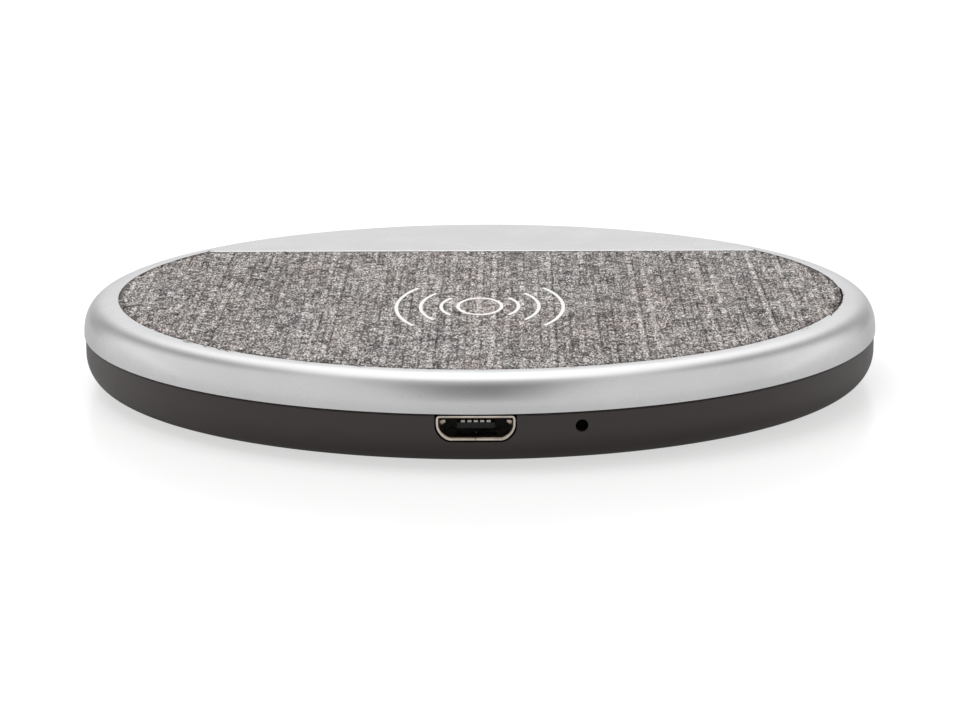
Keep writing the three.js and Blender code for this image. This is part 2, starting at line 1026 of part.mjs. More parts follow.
// One length of litz wire: outer lead, flat spiral, and inner lead back under the turns.
function chargingCoil() {
  const radius = coilWire / 2;
  const padZ = boardTopZ + radius + chipStandOff;
  const slotZ = ferriteTopZ - radius - coilTape / 2;
  const edge = coilOuterRadius;
  const points = outerLead.map(([aside, y, climb]) => [
    edge + aside,
    y,
    THREE.MathUtils.lerp(padZ, coilMiddleZ, climb),
  ]);
  const count = coilTurns * coilStepsPerTurn;
  for (let i = 0; i <= count; i++) {
    const angle = (2 * Math.PI * i) / coilStepsPerTurn;
    const r = edge - (coilPitch * i) / coilStepsPerTurn;
    points.push([r * Math.cos(angle), r * Math.sin(angle), coilMiddleZ]);
  }
  const inner = edge - coilPitch * coilTurns;
  for (const [aside, forward, drop] of innerLead) {
    const z = THREE.MathUtils.lerp(coilMiddleZ, slotZ, drop);
    points.push([-inner * aside, -inner * forward, z]);
  }
  const diveY = -ferriteRadius - leadDive;
  points.push(
    [leadX, -inner * leadEntry, slotZ],
    [leadX, -(inner + edge) / 2, slotZ],
    [leadX, diveY, slotZ],
    [leadX, diveY - leadLanding, (slotZ + padZ) / 2],
    [leadX, -ferriteRadius - leadPadSetback, padZ],
  );
  const path = points.map(([x, y, z]) => new THREE.Vector3(x, y, z));
  return wire(path, radius, count + 24, 5).translate([0, coilCentreY, 0]);
}

// The ring of tape on one face of the winding.
function coilAdhesive(bottomZ) {
  const shape = new THREE.Shape();
  shape.absarc(0, coilCentreY, coilOuterRadius, 0, 2 * Math.PI, false);
  const hole = new THREE.Path();
  const holeRadius = coilOuterRadius - coilPitch * coilTurns;
  hole.absarc(0, coilCentreY, holeRadius, 0, 2 * Math.PI, true);
  shape.holes.push(hole);
  return raised(shape, bottomZ, bottomZ + coilTape, openingSegments / 2);
}

// The slot for the leads, from the ferrite's front edge to the coil's middle.
function leadSlot() {
  return block(
    -ferriteSlotHalfWidth,
    ferriteSlotHalfWidth,
    coilCentreY - ferriteRadius - 1,
    coilCentreY,
    ferriteBottomZ - 1,
    ferriteTopZ + coilTape * 2,
  );
}

function ferritePlate() {
  const disc = upright(
    0,
    coilCentreY,
    ferriteRadius,
    ferriteBottomZ,
    ferriteTopZ,
    openingSegments,
  );
  return disc.subtract(leadSlot());
}

function foamPad(side) {
  const x = side * foamX;
  return block(
    x - foamWidth / 2,
    x + foamWidth / 2,
    coilCentreY - foamLength,
    coilCentreY,
    boardTopZ,
    ferriteBottomZ,
  );
}

// A bead with two fine leads that run through the ferrite's slot to the board.
function temperatureSensor() {
  const beadY = coilCentreY - sensorSetback;
  const beadZ = ferriteTopZ + sensorBead;
  const bead = new THREE.SphereGeometry(sensorBead, 8, 6);
  bead.scale(sensorBeadSpread, sensorBeadSpread, 1);
  bead.translate(sensorX, beadY, beadZ);
  const slotZ = ferriteTopZ - ferriteThickness / 2;
  const endY = coilCentreY - ferriteRadius - leadPadSetback;
  const leads = [-1, 1].map((side) => {
    const x = sensorX + (side * sensorWireGap) / 2;
    const path = [
      [x, beadY, beadZ],
      [x, beadY - sensorNeck, beadZ],
      [x, beadY - sensorDrop, slotZ],
      [x, endY + sensorLanding, slotZ],
      [x, endY + sensorLanding / 3, (slotZ + boardTopZ) / 2],
      [x, endY, boardTopZ + sensorWire + chipStandOff],
    ].map((point) => new THREE.Vector3(...point));
    return wire(path, sensorWire, 12, 4);
  });
  return joined([solid(bead), ...leads]);
}

// ---------------------------------------------------------------- the pieces

addPiece("bezel", bezel(), "silver");
addPiece("bezel_adhesive", bezelAdhesive(), "tape");
addPiece("cloth_cover", clothCover(), "cloth");
addPiece("cloth_adhesive", clothAdhesive(), "tape");
addPiece("carrier_plate", carrier(), "innerPlastic");
addPiece("base_shell", baseShell(), "casing");
postAngles.forEach((angle, i) => {
  addPiece(`foot_${i + 1}`, foot(angle), "rubber");
  addPiece(`case_screw_${i + 1}`, caseScrew(angle), "steel");
});

addPiece("charging_coil", chargingCoil(), "copper");
addPiece("coil_adhesive_top", coilAdhesive(coilTopZ), "tape");
addPiece(
  "coil_adhesive_bottom",
  coilAdhesive(ferriteTopZ).subtract(leadSlot()),
  "tape",
);
addPiece("ferrite_plate", ferritePlate(), "ferrite");
addPiece("temperature_sensor", temperatureSensor(), "chip");
addPiece("foam_pad_left", foamPad(-1), "foam");
addPiece("foam_pad_right", foamPad(1), "foam");

addPiece("circuit_board", circuitBoard(), "board");
addPiece("board_screw_left", boardScrew(-1), "steel");
addPiece("board_screw_right", boardScrew(1), "steel");
for (let i = 0; i < capacitorCount; i++) {
  const x = capacitorFirstX - i * capacitorStep;
  addPiece(
    `resonant_capacitor_${i + 1}`,
    chipCapacitor(x, boardFrontY + resonantCapacitorSetback, capacitorSize),
    "ceramic",
  );
}
inputCapacitorXs.forEach((x, i) => {
  addPiece(
    `input_capacitor_${i + 1}`,
    chipCapacitor(x, boardFrontY + inputCapacitorSetback, inputCapacitorSize),
    "ceramic",
  );
});
addPiece(
  "bridge_driver_right",
  chip(rightDriverPlace[0], boardFrontY + rightDriverPlace[1], driverSize),
  "chip",
);
addPiece(
  "bridge_driver_left",
  chip(
    -boardScrewX + leftDriverOffset[0],
    boardScrewY + leftDriverOffset[1],
    driverSize,
  ),
  "chip",
);
addPiece(
  "controller_chip",
  chip(
    boardScrewX + controllerOffset[0],
    boardScrewY + controllerOffset[1],
    controllerSize,
  ),
  "chip",
);
addPiece(
  "status_led",
  chip(lightX, boardEdgeAtLightY + ledGap + ledSize[1] / 2, ledSize),
  "lamp",
);
addPiece("light_pipe", lightPipe(), "clear");

addPiece("usb_shell", socketShell(), "steel");
addPiece("usb_insulator", socketInsulator(), "chip");
for (let i = 0; i < contactCount; i++) {
  addPiece(`usb_contact_${i + 1}`, socketContact(i), "gold");
}

export default pad;
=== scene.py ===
"""The looks of a round wireless charging pad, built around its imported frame.

Everything is in metres, with +Z up out of the cloth face and the charging socket facing -Y.
"""

import json
import logging
import math
from collections.abc import Callable, Iterator, Sequence
from contextlib import contextmanager
from dataclasses import dataclass
from enum import Enum

import bmesh
import bpy
import numpy as np
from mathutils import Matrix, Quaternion, Vector

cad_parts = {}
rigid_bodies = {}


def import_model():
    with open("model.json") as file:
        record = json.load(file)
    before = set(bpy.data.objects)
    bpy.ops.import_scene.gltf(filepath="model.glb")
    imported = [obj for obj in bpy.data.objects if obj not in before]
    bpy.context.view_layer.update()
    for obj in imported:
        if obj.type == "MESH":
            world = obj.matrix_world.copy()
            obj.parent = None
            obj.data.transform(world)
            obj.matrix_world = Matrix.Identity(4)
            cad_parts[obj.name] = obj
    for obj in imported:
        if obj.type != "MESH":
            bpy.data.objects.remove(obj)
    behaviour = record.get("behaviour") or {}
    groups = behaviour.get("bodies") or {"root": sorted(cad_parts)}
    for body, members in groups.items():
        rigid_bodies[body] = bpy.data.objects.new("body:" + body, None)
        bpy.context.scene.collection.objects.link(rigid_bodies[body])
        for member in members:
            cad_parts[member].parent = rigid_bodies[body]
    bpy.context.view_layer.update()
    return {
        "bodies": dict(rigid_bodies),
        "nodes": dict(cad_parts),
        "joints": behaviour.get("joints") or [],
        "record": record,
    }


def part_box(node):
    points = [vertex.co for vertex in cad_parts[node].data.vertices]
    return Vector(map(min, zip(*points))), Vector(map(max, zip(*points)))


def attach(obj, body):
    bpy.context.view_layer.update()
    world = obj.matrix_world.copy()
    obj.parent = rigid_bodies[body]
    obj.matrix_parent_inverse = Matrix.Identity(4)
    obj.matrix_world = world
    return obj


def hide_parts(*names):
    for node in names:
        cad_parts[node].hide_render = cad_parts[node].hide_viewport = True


MM = 0.001
WELD = 1e-7
log = logging.getLogger("charging_pad")

Colour = tuple[float, float, float]
Profile = list[tuple[float, float]]
Socket = bpy.types.NodeSocket


class Join(Enum):
    """How one solid changes another."""

    REMOVE = "DIFFERENCE"
    ADD = "UNION"


class Side(Enum):
    """Left or right of the socket, as seen from in front of it."""

    LEFT = -1
    RIGHT = 1


# ------------------------------------------------------------------ shader graphs


class Graph:
    """A node graph of a material or of the world, with short calls for what they share."""

    def __init__(self, tree: bpy.types.NodeTree) -> None:
        """Opens the graph.

        Args:
            tree: the node tree to add nodes to.
        """
        self.nodes = tree.nodes
        self.links = tree.links

    def _feed(self, socket: Socket, value: Socket | float | Colour) -> None:
        """Links or sets one input."""
        if isinstance(value, bpy.types.NodeSocket):
            self.links.new(value, socket)
        elif isinstance(value, tuple) and socket.type == "RGBA":
            socket.default_value = (*value, 1.0)
        else:
            socket.default_value = value

    def calc(self, operation: str, *values: Socket | float, clamp: bool = False) -> Socket:
        """One math node.

        Args:
            operation: the math node's operation.
            values: its inputs.
            clamp: whether the result is kept from 0 to 1.

        Returns:
            The result.
        """
        node = self.nodes.new("ShaderNodeMath")
        node.operation = operation
        node.use_clamp = clamp
        for socket, value in zip(node.inputs, values):
            self._feed(socket, value)
        return node.outputs[0]

    def between(self, value: Socket, start: float, end: float) -> Socket:
        """How far a value has gone from one number to another.

        Args:
            value: the value.
            start: where the result is 0.
            end: where it is 1; it may be the smaller of the two.

        Returns:
            0 to 1.
        """
        return self.calc("DIVIDE", self.calc("SUBTRACT", value, start), end - start, clamp=True)

    def axes(self, vector: Socket) -> tuple[Socket, Socket, Socket]:
        """A vector as three numbers."""
        split = self.nodes.new("ShaderNodeSeparateXYZ")
        self.links.new(vector, split.inputs[0])
        return split.outputs[0], split.outputs[1], split.outputs[2]

    def ramp(
        self, factor: Socket, stops: Sequence[tuple[float, Colour]], easing: str = "LINEAR"
    ) -> Socket:
        """A colour ramp.

        Args:
            factor: where on the ramp.
            stops: places from 0 to 1 with their colours.
            easing: how it goes from one stop to the next.

        Returns:
            The colour.
        """
        node = self.nodes.new("ShaderNodeValToRGB")
        node.color_ramp.interpolation = easing
        self.links.new(factor, node.inputs[0])
        elements = node.color_ramp.elements
        while len(elements) < len(stops):
            elements.new(0.5)
        for element, (place, colour) in zip(elements, stops):
            element.position = place
            element.color = (*colour, 1.0)
        return node.outputs["Color"]

    def blend(
        self,
        factor: Socket | float,
        first: Socket | Colour,
        second: Socket | Colour,
        mode: str = "MIX",
    ) -> Socket:
        """Mixes two colours.

        Args:
            factor: how much of the second.
            first: the first colour.
            second: the second colour.
            mode: the mix node's blend type.

        Returns:
            The mixed colour.
        """
        node = self.nodes.new("ShaderNodeMix")
        node.data_type = "RGBA"
        node.blend_type = mode
        self._feed(node.inputs[0], factor)
        self._feed(node.inputs[6], first)
        self._feed(node.inputs[7], second)
        return node.outputs[2]


class Shader(Graph):
    """A material's graph, with short calls for the nodes that the finishes share."""

    def __init__(self, name: str) -> None:
        """Starts a material with one principled surface.

        Args:
            name: the material's name.
        """
        self.material = bpy.data.materials.new(name)
        self.material.use_nodes = True
        super().__init__(self.material.node_tree)
        self.surface = self.nodes["Principled BSDF"]
        self.place = self.nodes.new("ShaderNodeTexCoord").outputs["Object"]

    def set(self, **values: float | Colour) -> None:
        """Sets surface sockets by name, with underscores for spaces.

        Args:
            values: each socket's value.
        """
        for key, value in values.items():
            self._feed(self.surface.inputs[key.replace("_", " ")], value)

    def wire(self, source: Socket, name: str) -> None:
        """Links a socket to one of the surface's inputs."""
        self.links.new(source, self.surface.inputs[name])

    def tint(self, factor: Socket, stops: Sequence[tuple[float, Colour]]) -> None:
        """Colours the surface by a ramp."""
        self.wire(self.ramp(factor, stops), "Base Color")

    def roughen(self, factor: Socket, spread: float, least: float) -> None:
        """Lets the roughness follow a value, from its least level up by a spread."""
        self.wire(self.calc("MULTIPLY_ADD", factor, spread, least), "Roughness")

    def stretched(self, scale: tuple[float, float, float]) -> Socket:
        """Object coordinates, scaled along each axis.

        Args:
            scale: the three factors.

        Returns:
            The scaled vector.
        """
        node = self.nodes.new("ShaderNodeMapping")
        node.inputs["Scale"].default_value = scale
        self.links.new(self.place, node.inputs["Vector"])
        return node.outputs[0]

    def noise(
        self,
        grain: float,
        detail: float = 2.0,
        roughness: float = 0.5,
        stretch: tuple[float, float, float] = (1.0, 1.0, 1.0),
    ) -> Socket:
        """Soft noise on object coordinates.

        Args:
            grain: the size of its features in metres.
            detail: octaves of finer noise.
            roughness: how strong the finer noise is.
            stretch: a factor for each axis.

        Returns:
            The noise's value, about 0 to 1.
        """
        node = self.nodes.new("ShaderNodeTexNoise")
        node.inputs["Scale"].default_value = 1 / grain
        node.inputs["Detail"].default_value = detail
        node.inputs["Roughness"].default_value = roughness
        self.links.new(self.stretched(stretch), node.inputs["Vector"])
        return node.outputs["Fac"]

    def cells(self, grain: float, stretch: tuple[float, float, float] = (1.0, 1.0, 1.0)) -> Socket:
        """Distance to the nearest of many scattered points.

        Args:
            grain: the cells' size in metres.
            stretch: a factor for each axis.

        Returns:
            The distance, 0 at each point.
        """
        node = self.nodes.new("ShaderNodeTexVoronoi")
        node.inputs["Scale"].default_value = 1 / grain
        self.links.new(self.stretched(stretch), node.inputs["Vector"])
        return node.outputs["Distance"]

    def attribute(self, name: str) -> tuple[Socket, Socket, Socket]:
        """The three channels of a colour attribute of the mesh.

        Args:
            name: the attribute's name.

        Returns:
            Its red, green and blue.
        """
        read = self.nodes.new("ShaderNodeAttribute")
        read.attribute_name = name
        split = self.nodes.new("ShaderNodeSeparateColor")
        self.links.new(read.outputs["Color"], split.inputs[0])
        return split.outputs[0], split.outputs[1], split.outputs[2]

    def bump(self, height: Socket, depth: float, strength: float = 1.0) -> None:
        """Adds fine relief to the surface.

        Args:
            height: the relief, about 0 to 1.
            depth: how deep that is, in metres.
            strength: how much of it shows.
        """
        node = self.nodes.new("ShaderNodeBump")
        node.inputs["Strength"].default_value = strength
        node.inputs["Distance"].default_value = depth
        self.links.new(height, node.inputs["Height"])
        self.wire(node.outputs[0], "Normal")


# ------------------------------------------------------------------ finishes


def tone_of(colour: Colour, factor: float) -> Colour:
    """A lighter or darker tone of a colour."""
    return tuple(min(channel * factor, 1.0) for channel in colour)


@dataclass(frozen=True)
class Finish:
    """What every finish shares: a name and its material, made once."""

    name: str

    def shade(self, shader: Shader) -> None:
        """Fills in the graph; each finish has its own."""
        raise NotImplementedError

    def material(self) -> bpy.types.Material:
        """The finish's material, made the first time it is asked for."""
        made = bpy.data.materials.get(self.name)
        if made is None:
            shader = Shader(self.name)
            self.shade(shader)
            made = shader.material
        return made


@dataclass(frozen=True)
class BlastedMetal(Finish):
    """Metal with the even, silky grain of fine bead blasting and anodising."""

    colour: Colour = (0.83, 0.83, 0.84)
    roughness: float = 0.27
    grain: float = 0.12 * MM
    depth: float = 0.0014 * MM
    unevenness: float = 0.06

    def shade(self, shader: Shader) -> None:
        """Cloudy tone and roughness under a fine pitted grain."""
        cloud = shader.noise(6 * MM, detail=3)
        grain = shader.noise(self.grain, detail=2, roughness=0.7)
        tone = shader.calc("MULTIPLY_ADD", grain, 0.5, shader.calc("MULTIPLY", cloud, 0.5))
        low = tone_of(self.colour, 1 - self.unevenness)
        high = tone_of(self.colour, 1 + self.unevenness)
        shader.tint(tone, [(0.3, low), (0.7, high)])
        shader.set(Metallic=1.0)
        shader.roughen(cloud, 0.08, self.roughness - 0.04)
        shader.bump(grain, self.depth)


@dataclass(frozen=True)
class PlatedSteel(Finish):
    """Stamped sheet or turned steel with a bright plated skin."""

    colour: Colour = (0.62, 0.55, 0.48)
    roughness: float = 0.24
    grain: float = 0.25 * MM

    def shade(self, shader: Shader) -> None:
        """Drawn streaks along Y, with faint tarnish."""
        streak = shader.noise(self.grain, detail=3, stretch=(1.0, 0.12, 1.0))
        tarnish = shader.noise(1.6 * MM, detail=2)
        dull = tone_of(self.colour, 0.78)
        shader.tint(tarnish, [(0.35, dull), (0.65, self.colour)])
        shader.set(Metallic=1.0)
        shader.roughen(streak, 0.16, self.roughness - 0.08)
        shader.bump(streak, 0.002 * MM)


@dataclass(frozen=True)
class MouldedPlastic(Finish):
    """Injection-moulded plastic with a fine spark-eroded texture."""

    colour: Colour = (0.0425, 0.0318, 0.0288)
    roughness: float = 0.45
    grain: float = 0.11 * MM
    depth: float = 0.004 * MM
    shine: float = 0.5

    def shade(self, shader: Shader) -> None:
        """A slight flow mottle over an even fine texture."""
        mottle = shader.noise(4 * MM, detail=3)
        grain = shader.noise(self.grain, detail=2, roughness=0.6)
        low = tone_of(self.colour, 0.88)
        high = tone_of(self.colour, 1.12)
        tone = shader.calc("MULTIPLY_ADD", grain, 0.4, shader.calc("MULTIPLY", mottle, 0.6))
        shader.tint(tone, [(0.3, low), (0.7, high)])
        shader.roughen(mottle, 0.1, self.roughness - 0.05)
        shader.set(Specular_IOR_Level=self.shine)
        shader.bump(grain, self.depth)


@dataclass(frozen=True)
class ChargingMark:
    """The printed charging symbol: a ring with three waves at each side."""

    centre: tuple[float, float]
    stretch: float = 1.83
    ring: float = 2.44 * MM
    wave_offset: float = 0.9 * MM
    waves: tuple[float, float, float] = (8.4 * MM, 5.7 * MM, 3.42 * MM)
    spans: tuple[float, float, float] = (42.0, 44.0, 48.0)
    line: float = 0.4 * MM
    edge: float = 0.035 * MM

    def clearance(self, x: np.ndarray, y: np.ndarray) -> np.ndarray:
        """How far points lie from the nearest line of the mark.

        Args:
            x: each point's x.
            y: each point's y.

        Returns:
            The distance, 0 on a line's middle.
        """
        across = np.abs(x - self.centre[0])
        along = (y - self.centre[1]) / self.stretch
        gap = np.abs(np.hypot(across, along) - self.ring)
        outward = across - self.wave_offset
        reach = np.hypot(outward, along)
        facing = outward > reach * math.cos(math.radians(max(self.spans) + 4))
        for radius in self.waves:
            gap = np.minimum(gap, np.where(facing, np.abs(reach - radius), 1.0))
        return gap

    def mask(self, shader: Shader) -> Socket:
        """Where ink lies.

        Args:
            shader: the cloth's graph.

        Returns:
            1 on the ink, 0 off it.
        """
        x, y, _ = shader.axes(shader.place)
        across = shader.calc("ABSOLUTE", shader.calc("SUBTRACT", x, self.centre[0]))
        along = shader.calc("DIVIDE", shader.calc("SUBTRACT", y, self.centre[1]), self.stretch)
        ink = self._stroke(shader, self._reach(shader, across, along), self.ring)
        outward = shader.calc("SUBTRACT", across, self.wave_offset)
        reach = self._reach(shader, outward, along)
        lean = shader.calc("DIVIDE", outward, shader.calc("MAXIMUM", reach, WELD))
        for radius, span in zip(self.waves, self.spans):
            wave = self._stroke(shader, reach, radius)
            facing = shader.calc("GREATER_THAN", lean, math.cos(math.radians(span)))
            ink = shader.calc("MAXIMUM", ink, shader.calc("MULTIPLY", wave, facing))
        return ink

    def _reach(self, shader: Shader, across: Socket, along: Socket) -> Socket:
        """Distance from a centre."""
        squares = shader.calc("MULTIPLY_ADD", across, across, shader.calc("MULTIPLY", along, along))
        return shader.calc("SQRT", squares)

    def _stroke(self, shader: Shader, reach: Socket, radius: float) -> Socket:
        """A round line of the ink's width at one radius."""
        off = shader.calc("ABSOLUTE", shader.calc("SUBTRACT", reach, radius))
        inside = shader.calc("SUBTRACT", self.line / 2, off)
        return shader.calc("MULTIPLY_ADD", inside, 1 / self.edge, 0.5, clamp=True)


@dataclass(frozen=True)
class MelangeCloth(Finish):
    """Plain-woven cloth of mixed grey and warm brown fibres, with a printed mark."""

    mark: ChargingMark
    yarn: str = "yarn"
    ink: Colour = (0.9, 0.89, 0.87)
    fibre_contrast: float = 3.8
    fleck_contrast: float = 1.9
    fuzz: float = 0.05 * MM

    def shade(self, shader: Shader) -> None:
        """Yarn tones from the mesh, painted shade in the grooves and a painted highlight on the crests
        from its height, fine fibres from noise, and ink over both.
        """
        tone, warmth, height = shader.attribute(self.yarn)
        fibre = shader.noise(0.2 * MM, detail=3, roughness=0.8, stretch=(1.0, 0.3, 1.0))
        fleck = shader.noise(0.3 * MM, detail=2, roughness=0.7, stretch=(1.0, 0.7, 1.0))
        mixed = tone
        for noise, contrast in ((fibre, self.fibre_contrast), (fleck, self.fleck_contrast)):
            mixed = shader.calc("MULTIPLY_ADD", shader.calc("SUBTRACT", noise, 0.5), contrast, mixed)
        cool = [
            (0.0, (0.02, 0.019, 0.019)),
            (0.5, (0.2, 0.186, 0.18)),
            (1.0, (0.74, 0.71, 0.69)),
        ]
        warm = [
            (0.0, (0.024, 0.019, 0.018)),
            (0.5, (0.212, 0.184, 0.174)),
            (1.0, (0.76, 0.7, 0.67)),
        ]
        # Painted shade and highlight: this ramp on the thread height is multiplied into the cloth,
        # darkening the grooves and lightening the crests.
        shade = [
            (0.12, (0.2, 0.185, 0.18)),
            (0.62, (1.0, 1.0, 1.0)),
            (1.0, (1.2, 1.2, 1.2)),
        ]
        cloth = shader.blend(warmth, shader.ramp(mixed, cool), shader.ramp(mixed, warm))
        cloth = shader.blend(1.0, cloth, shader.ramp(height, shade), "MULTIPLY")
        ink = self.mark.mask(shader)
        shader.wire(shader.blend(ink, cloth, self.ink), "Base Color")
        shader.roughen(ink, -0.3, 0.9)
        shader.set(Sheen_Weight=0.08, Sheen_Roughness=0.5, Specular_IOR_Level=0.2)
        shader.bump(shader.calc("ADD", fibre, fleck), self.fuzz)


@dataclass(frozen=True)
class SoftRubber(Finish):
    """Black rubber or foam with a dusty, pored surface."""

    colour: Colour = (0.022, 0.022, 0.022)
    roughness: float = 0.8
    pore: float = 0.2 * MM
    depth: float = 0.012 * MM

    def shade(self, shader: Shader) -> None:
        """Pores as a cell pattern, and dust as soft noise."""
        pores = shader.cells(self.pore)
        dust = shader.noise(1.5 * MM, detail=4)
        light = tuple(c * 1.9 + 0.01 for c in self.colour)
        shader.tint(dust, [(0.4, self.colour), (0.8, light)])
        shader.set(Roughness=self.roughness)
        shader.bump(pores, self.depth)


@dataclass(frozen=True)
class BondingTape(Finish):
    """Double-sided tape: a hazy film with trapped air."""

    colour: Colour = (0.62, 0.58, 0.48)

    def shade(self, shader: Shader) -> None:
        """Blotches where the glue has wetted, under a soft gloss."""
        wetting = shader.noise(2.5 * MM, detail=4, roughness=0.65)
        pale = tone_of(self.colour, 1.25)
        shader.tint(wetting, [(0.4, self.colour), (0.6, pale)])
        shader.roughen(wetting, 0.3, 0.35)
        shader.bump(wetting, 0.01 * MM)


@dataclass(frozen=True)
class LitzWire(Finish):
    """Twisted, enamelled copper strands."""

    colour: Colour = (0.63, 0.22, 0.09)

    def shade(self, shader: Shader) -> None:
        """Fine slanting strands, with painted shade darkening the grooves between them."""
        strand = shader.noise(0.16 * MM, detail=1, stretch=(1.0, 1.0, 0.35))
        # Painted shade: the grooves between strands get a darker tone of the copper.
        groove = tone_of(self.colour, 0.35)
        shader.tint(strand, [(0.38, groove), (0.55, self.colour)])
        shader.set(Metallic=0.85, Roughness=0.32)
        shader.bump(strand, 0.05 * MM)


@dataclass(frozen=True)
class FiredCeramic(Finish):
    """Ferrite or chip ceramic: dense, matt and slightly speckled."""

    colour: Colour = (0.045, 0.042, 0.038)
    roughness: float = 0.6

    def shade(self, shader: Shader) -> None:
        """A speckle over a powdery grain."""
        speckle = shader.noise(0.12 * MM, detail=3, roughness=0.7)
        light = tone_of(self.colour, 1.5)
        shader.tint(speckle, [(0.4, self.colour), (0.7, light)])
        shader.set(Roughness=self.roughness)
        shader.bump(speckle, 0.006 * MM)


@dataclass(frozen=True)
class CoatedBoard(Finish):
    """Circuit board under green solder mask, with faint copper tracks below it."""

    colour: Colour = (0.012, 0.11, 0.04)

    def shade(self, shader: Shader) -> None:
        """Tracks as raised bands with a lighter green over copper."""
        tracks = shader.cells(2.2 * MM, stretch=(1.0, 0.45, 1.0))
        weave = shader.noise(0.3 * MM, detail=1)
        over_copper = (0.03, 0.2, 0.07)
        shader.tint(tracks, [(0.3, over_copper), (0.34, self.colour)])
        shader.roughen(weave, 0.15, 0.28)
        shader.set(Coat_Weight=0.3, Coat_Roughness=0.2)
        shader.bump(tracks, 0.02 * MM, 0.5)


@dataclass(frozen=True)
class ClearMoulding(Finish):
    """Clear or milky moulded resin, for the light pipe and the lamp's body."""

    colour: Colour = (0.05, 0.05, 0.055)
    transmission: float = 0.7
    roughness: float = 0.05
    shine: float = 0.5

    def shade(self, shader: Shader) -> None:
        """A faint flow haze in a glossy moulding."""
        haze = shader.noise(0.5 * MM, detail=2)
        hazy = tone_of(self.colour, 1.3)
        shader.tint(haze, [(0.4, self.colour), (0.7, hazy)])
        shader.roughen(haze, 0.1, self.roughness)
        shader.set(Transmission_Weight=self.transmission, IOR=1.49, Specular_IOR_Level=self.shine)
        shader.bump(haze, 0.003 * MM)


@dataclass(frozen=True)
class StudioPaper(Finish):
    """The pale sweep that the pad stands on."""

    colour: Colour = (0.36, 0.36, 0.36)
    glow: float = 0.49
    bounce: float = 0.13

    def shade(self, shader: Shader) -> None:
        """An almost even tone with a soft sheen and a faint glow, stronger to the camera."""
        tooth = shader.noise(25 * MM, detail=2)
        dim = tone_of(self.colour, 0.995)
        shader.tint(tooth, [(0.3, dim), (0.7, self.colour)])
        shader.set(Roughness=0.25, Specular_IOR_Level=0.15, Emission_Color=(1.0, 1.0, 0.995))
        seen = shader.nodes.new("ShaderNodeLightPath").outputs["Is Camera Ray"]
        shader.wire(shader.calc("MULTIPLY_ADD", seen, self.glow, self.bounce), "Emission Strength")


# ------------------------------------------------------------------ shaping with operators


def activate(piece: bpy.types.Object) -> None:
    """Makes a piece the only selected and active object."""
    bpy.ops.object.select_all(action="DESELECT")
    piece.select_set(True)
    bpy.context.view_layer.objects.active = piece


@contextmanager
def editing(piece: bpy.types.Object, mode: str = "VERT") -> Iterator[None]:
    """Opens a piece in edit mode with nothing selected, and closes it afterwards.

    Args:
        piece: the object to edit.
        mode: VERT, EDGE or FACE.
    """
    activate(piece)
    bpy.ops.object.mode_set(mode="EDIT")
    bpy.ops.mesh.select_mode(type=mode)
    bpy.ops.mesh.select_all(action="DESELECT")
    yield
    bpy.ops.object.mode_set(mode="OBJECT")


def pick(piece: bpy.types.Object, kind: str, test: Callable[[Vector, Vector], bool]) -> int:
    """Selects what passes a test, in edit mode.

    Args:
        piece: the object being edited.
        kind: verts, edges or faces.
        test: called with each item's middle and its direction or normal.

    Returns:
        How many were selected.
    """
    mesh = bmesh.from_edit_mesh(piece.data)
    count = 0
    for item in getattr(mesh, kind):
        if kind == "verts":
            middle, direction = item.co, item.normal
        elif kind == "edges":
            ends = [vertex.co for vertex in item.verts]
            middle, direction = (ends[0] + ends[1]) / 2, (ends[1] - ends[0]).normalized()
        else:
            middle, direction = item.calc_center_median(), item.normal
        chosen = test(middle, direction)
        item.select_set(chosen)
        count += chosen
    mesh.select_flush_mode()
    bmesh.update_edit_mesh(piece.data)
    return count


def draw_out(length: float) -> None:
    """Extrudes what is selected along Y, in edit mode."""
    bpy.ops.mesh.extrude_region_move(TRANSFORM_OT_translate={"value": (0, length, 0)})


def take_name(name: str) -> bpy.types.Object:
    """Names the new active object, and puts its place in its mesh.

    Args:
        name: the piece's name.

    Returns:
        The object.
    """
    piece = bpy.context.view_layer.objects.active
    piece.name = name
    piece.data.name = name
    bpy.ops.object.transform_apply(location=True, rotation=True, scale=True)
    return piece


def revolve(name: str, profile: Profile, steps: int) -> bpy.types.Object:
    """Draws a profile point by point and spins it about the Z axis.

    Args:
        name: the piece's name.
        profile: radius and height of each point, from the axis and back to it, or closed.
        steps: how many facets go round.

    Returns:
        The closed solid.
    """
    bpy.ops.object.select_all(action="DESELECT")
    radius, height = profile[0]
    bpy.ops.mesh.primitive_plane_add(size=MM, location=(radius, 0, height))
    piece = take_name(name)
    with editing(piece):
        bpy.ops.mesh.select_all(action="SELECT")
        bpy.ops.mesh.merge(type="CENTER")
        for (r0, z0), (r1, z1) in zip(profile, profile[1:]):
            move = (r1 - r0, 0, z1 - z0)
            bpy.ops.mesh.extrude_region_move(TRANSFORM_OT_translate={"value": move})
        bpy.ops.mesh.select_all(action="SELECT")
        bpy.ops.mesh.spin(
            steps=steps,
            angle=math.tau,
            use_normal_flip=False,
            center=(0, 0, 0),
            axis=(0, 0, 1),
        )
        bpy.ops.mesh.select_all(action="SELECT")
        bpy.ops.mesh.remove_doubles(threshold=10 * WELD)
        bpy.ops.mesh.normals_make_consistent(inside=False)
    return piece


def upright_rod(
    name: str, place: tuple[float, float], radius: float, bottom: float, top: float, sides: int = 48
) -> bpy.types.Object:
    """A vertical rod, as a post or as a cutter.

    Args:
        name: the piece's name.
        place: its x and y.
        radius: its radius.
        bottom: its lower end.
        top: its upper end.
        sides: facets round it.

    Returns:
        The rod.
    """
    bpy.ops.object.select_all(action="DESELECT")
    bpy.ops.mesh.primitive_cylinder_add(
        vertices=sides,
        radius=radius,
        depth=top - bottom,
        location=(*place, (top + bottom) / 2),
    )
    return take_name(name)


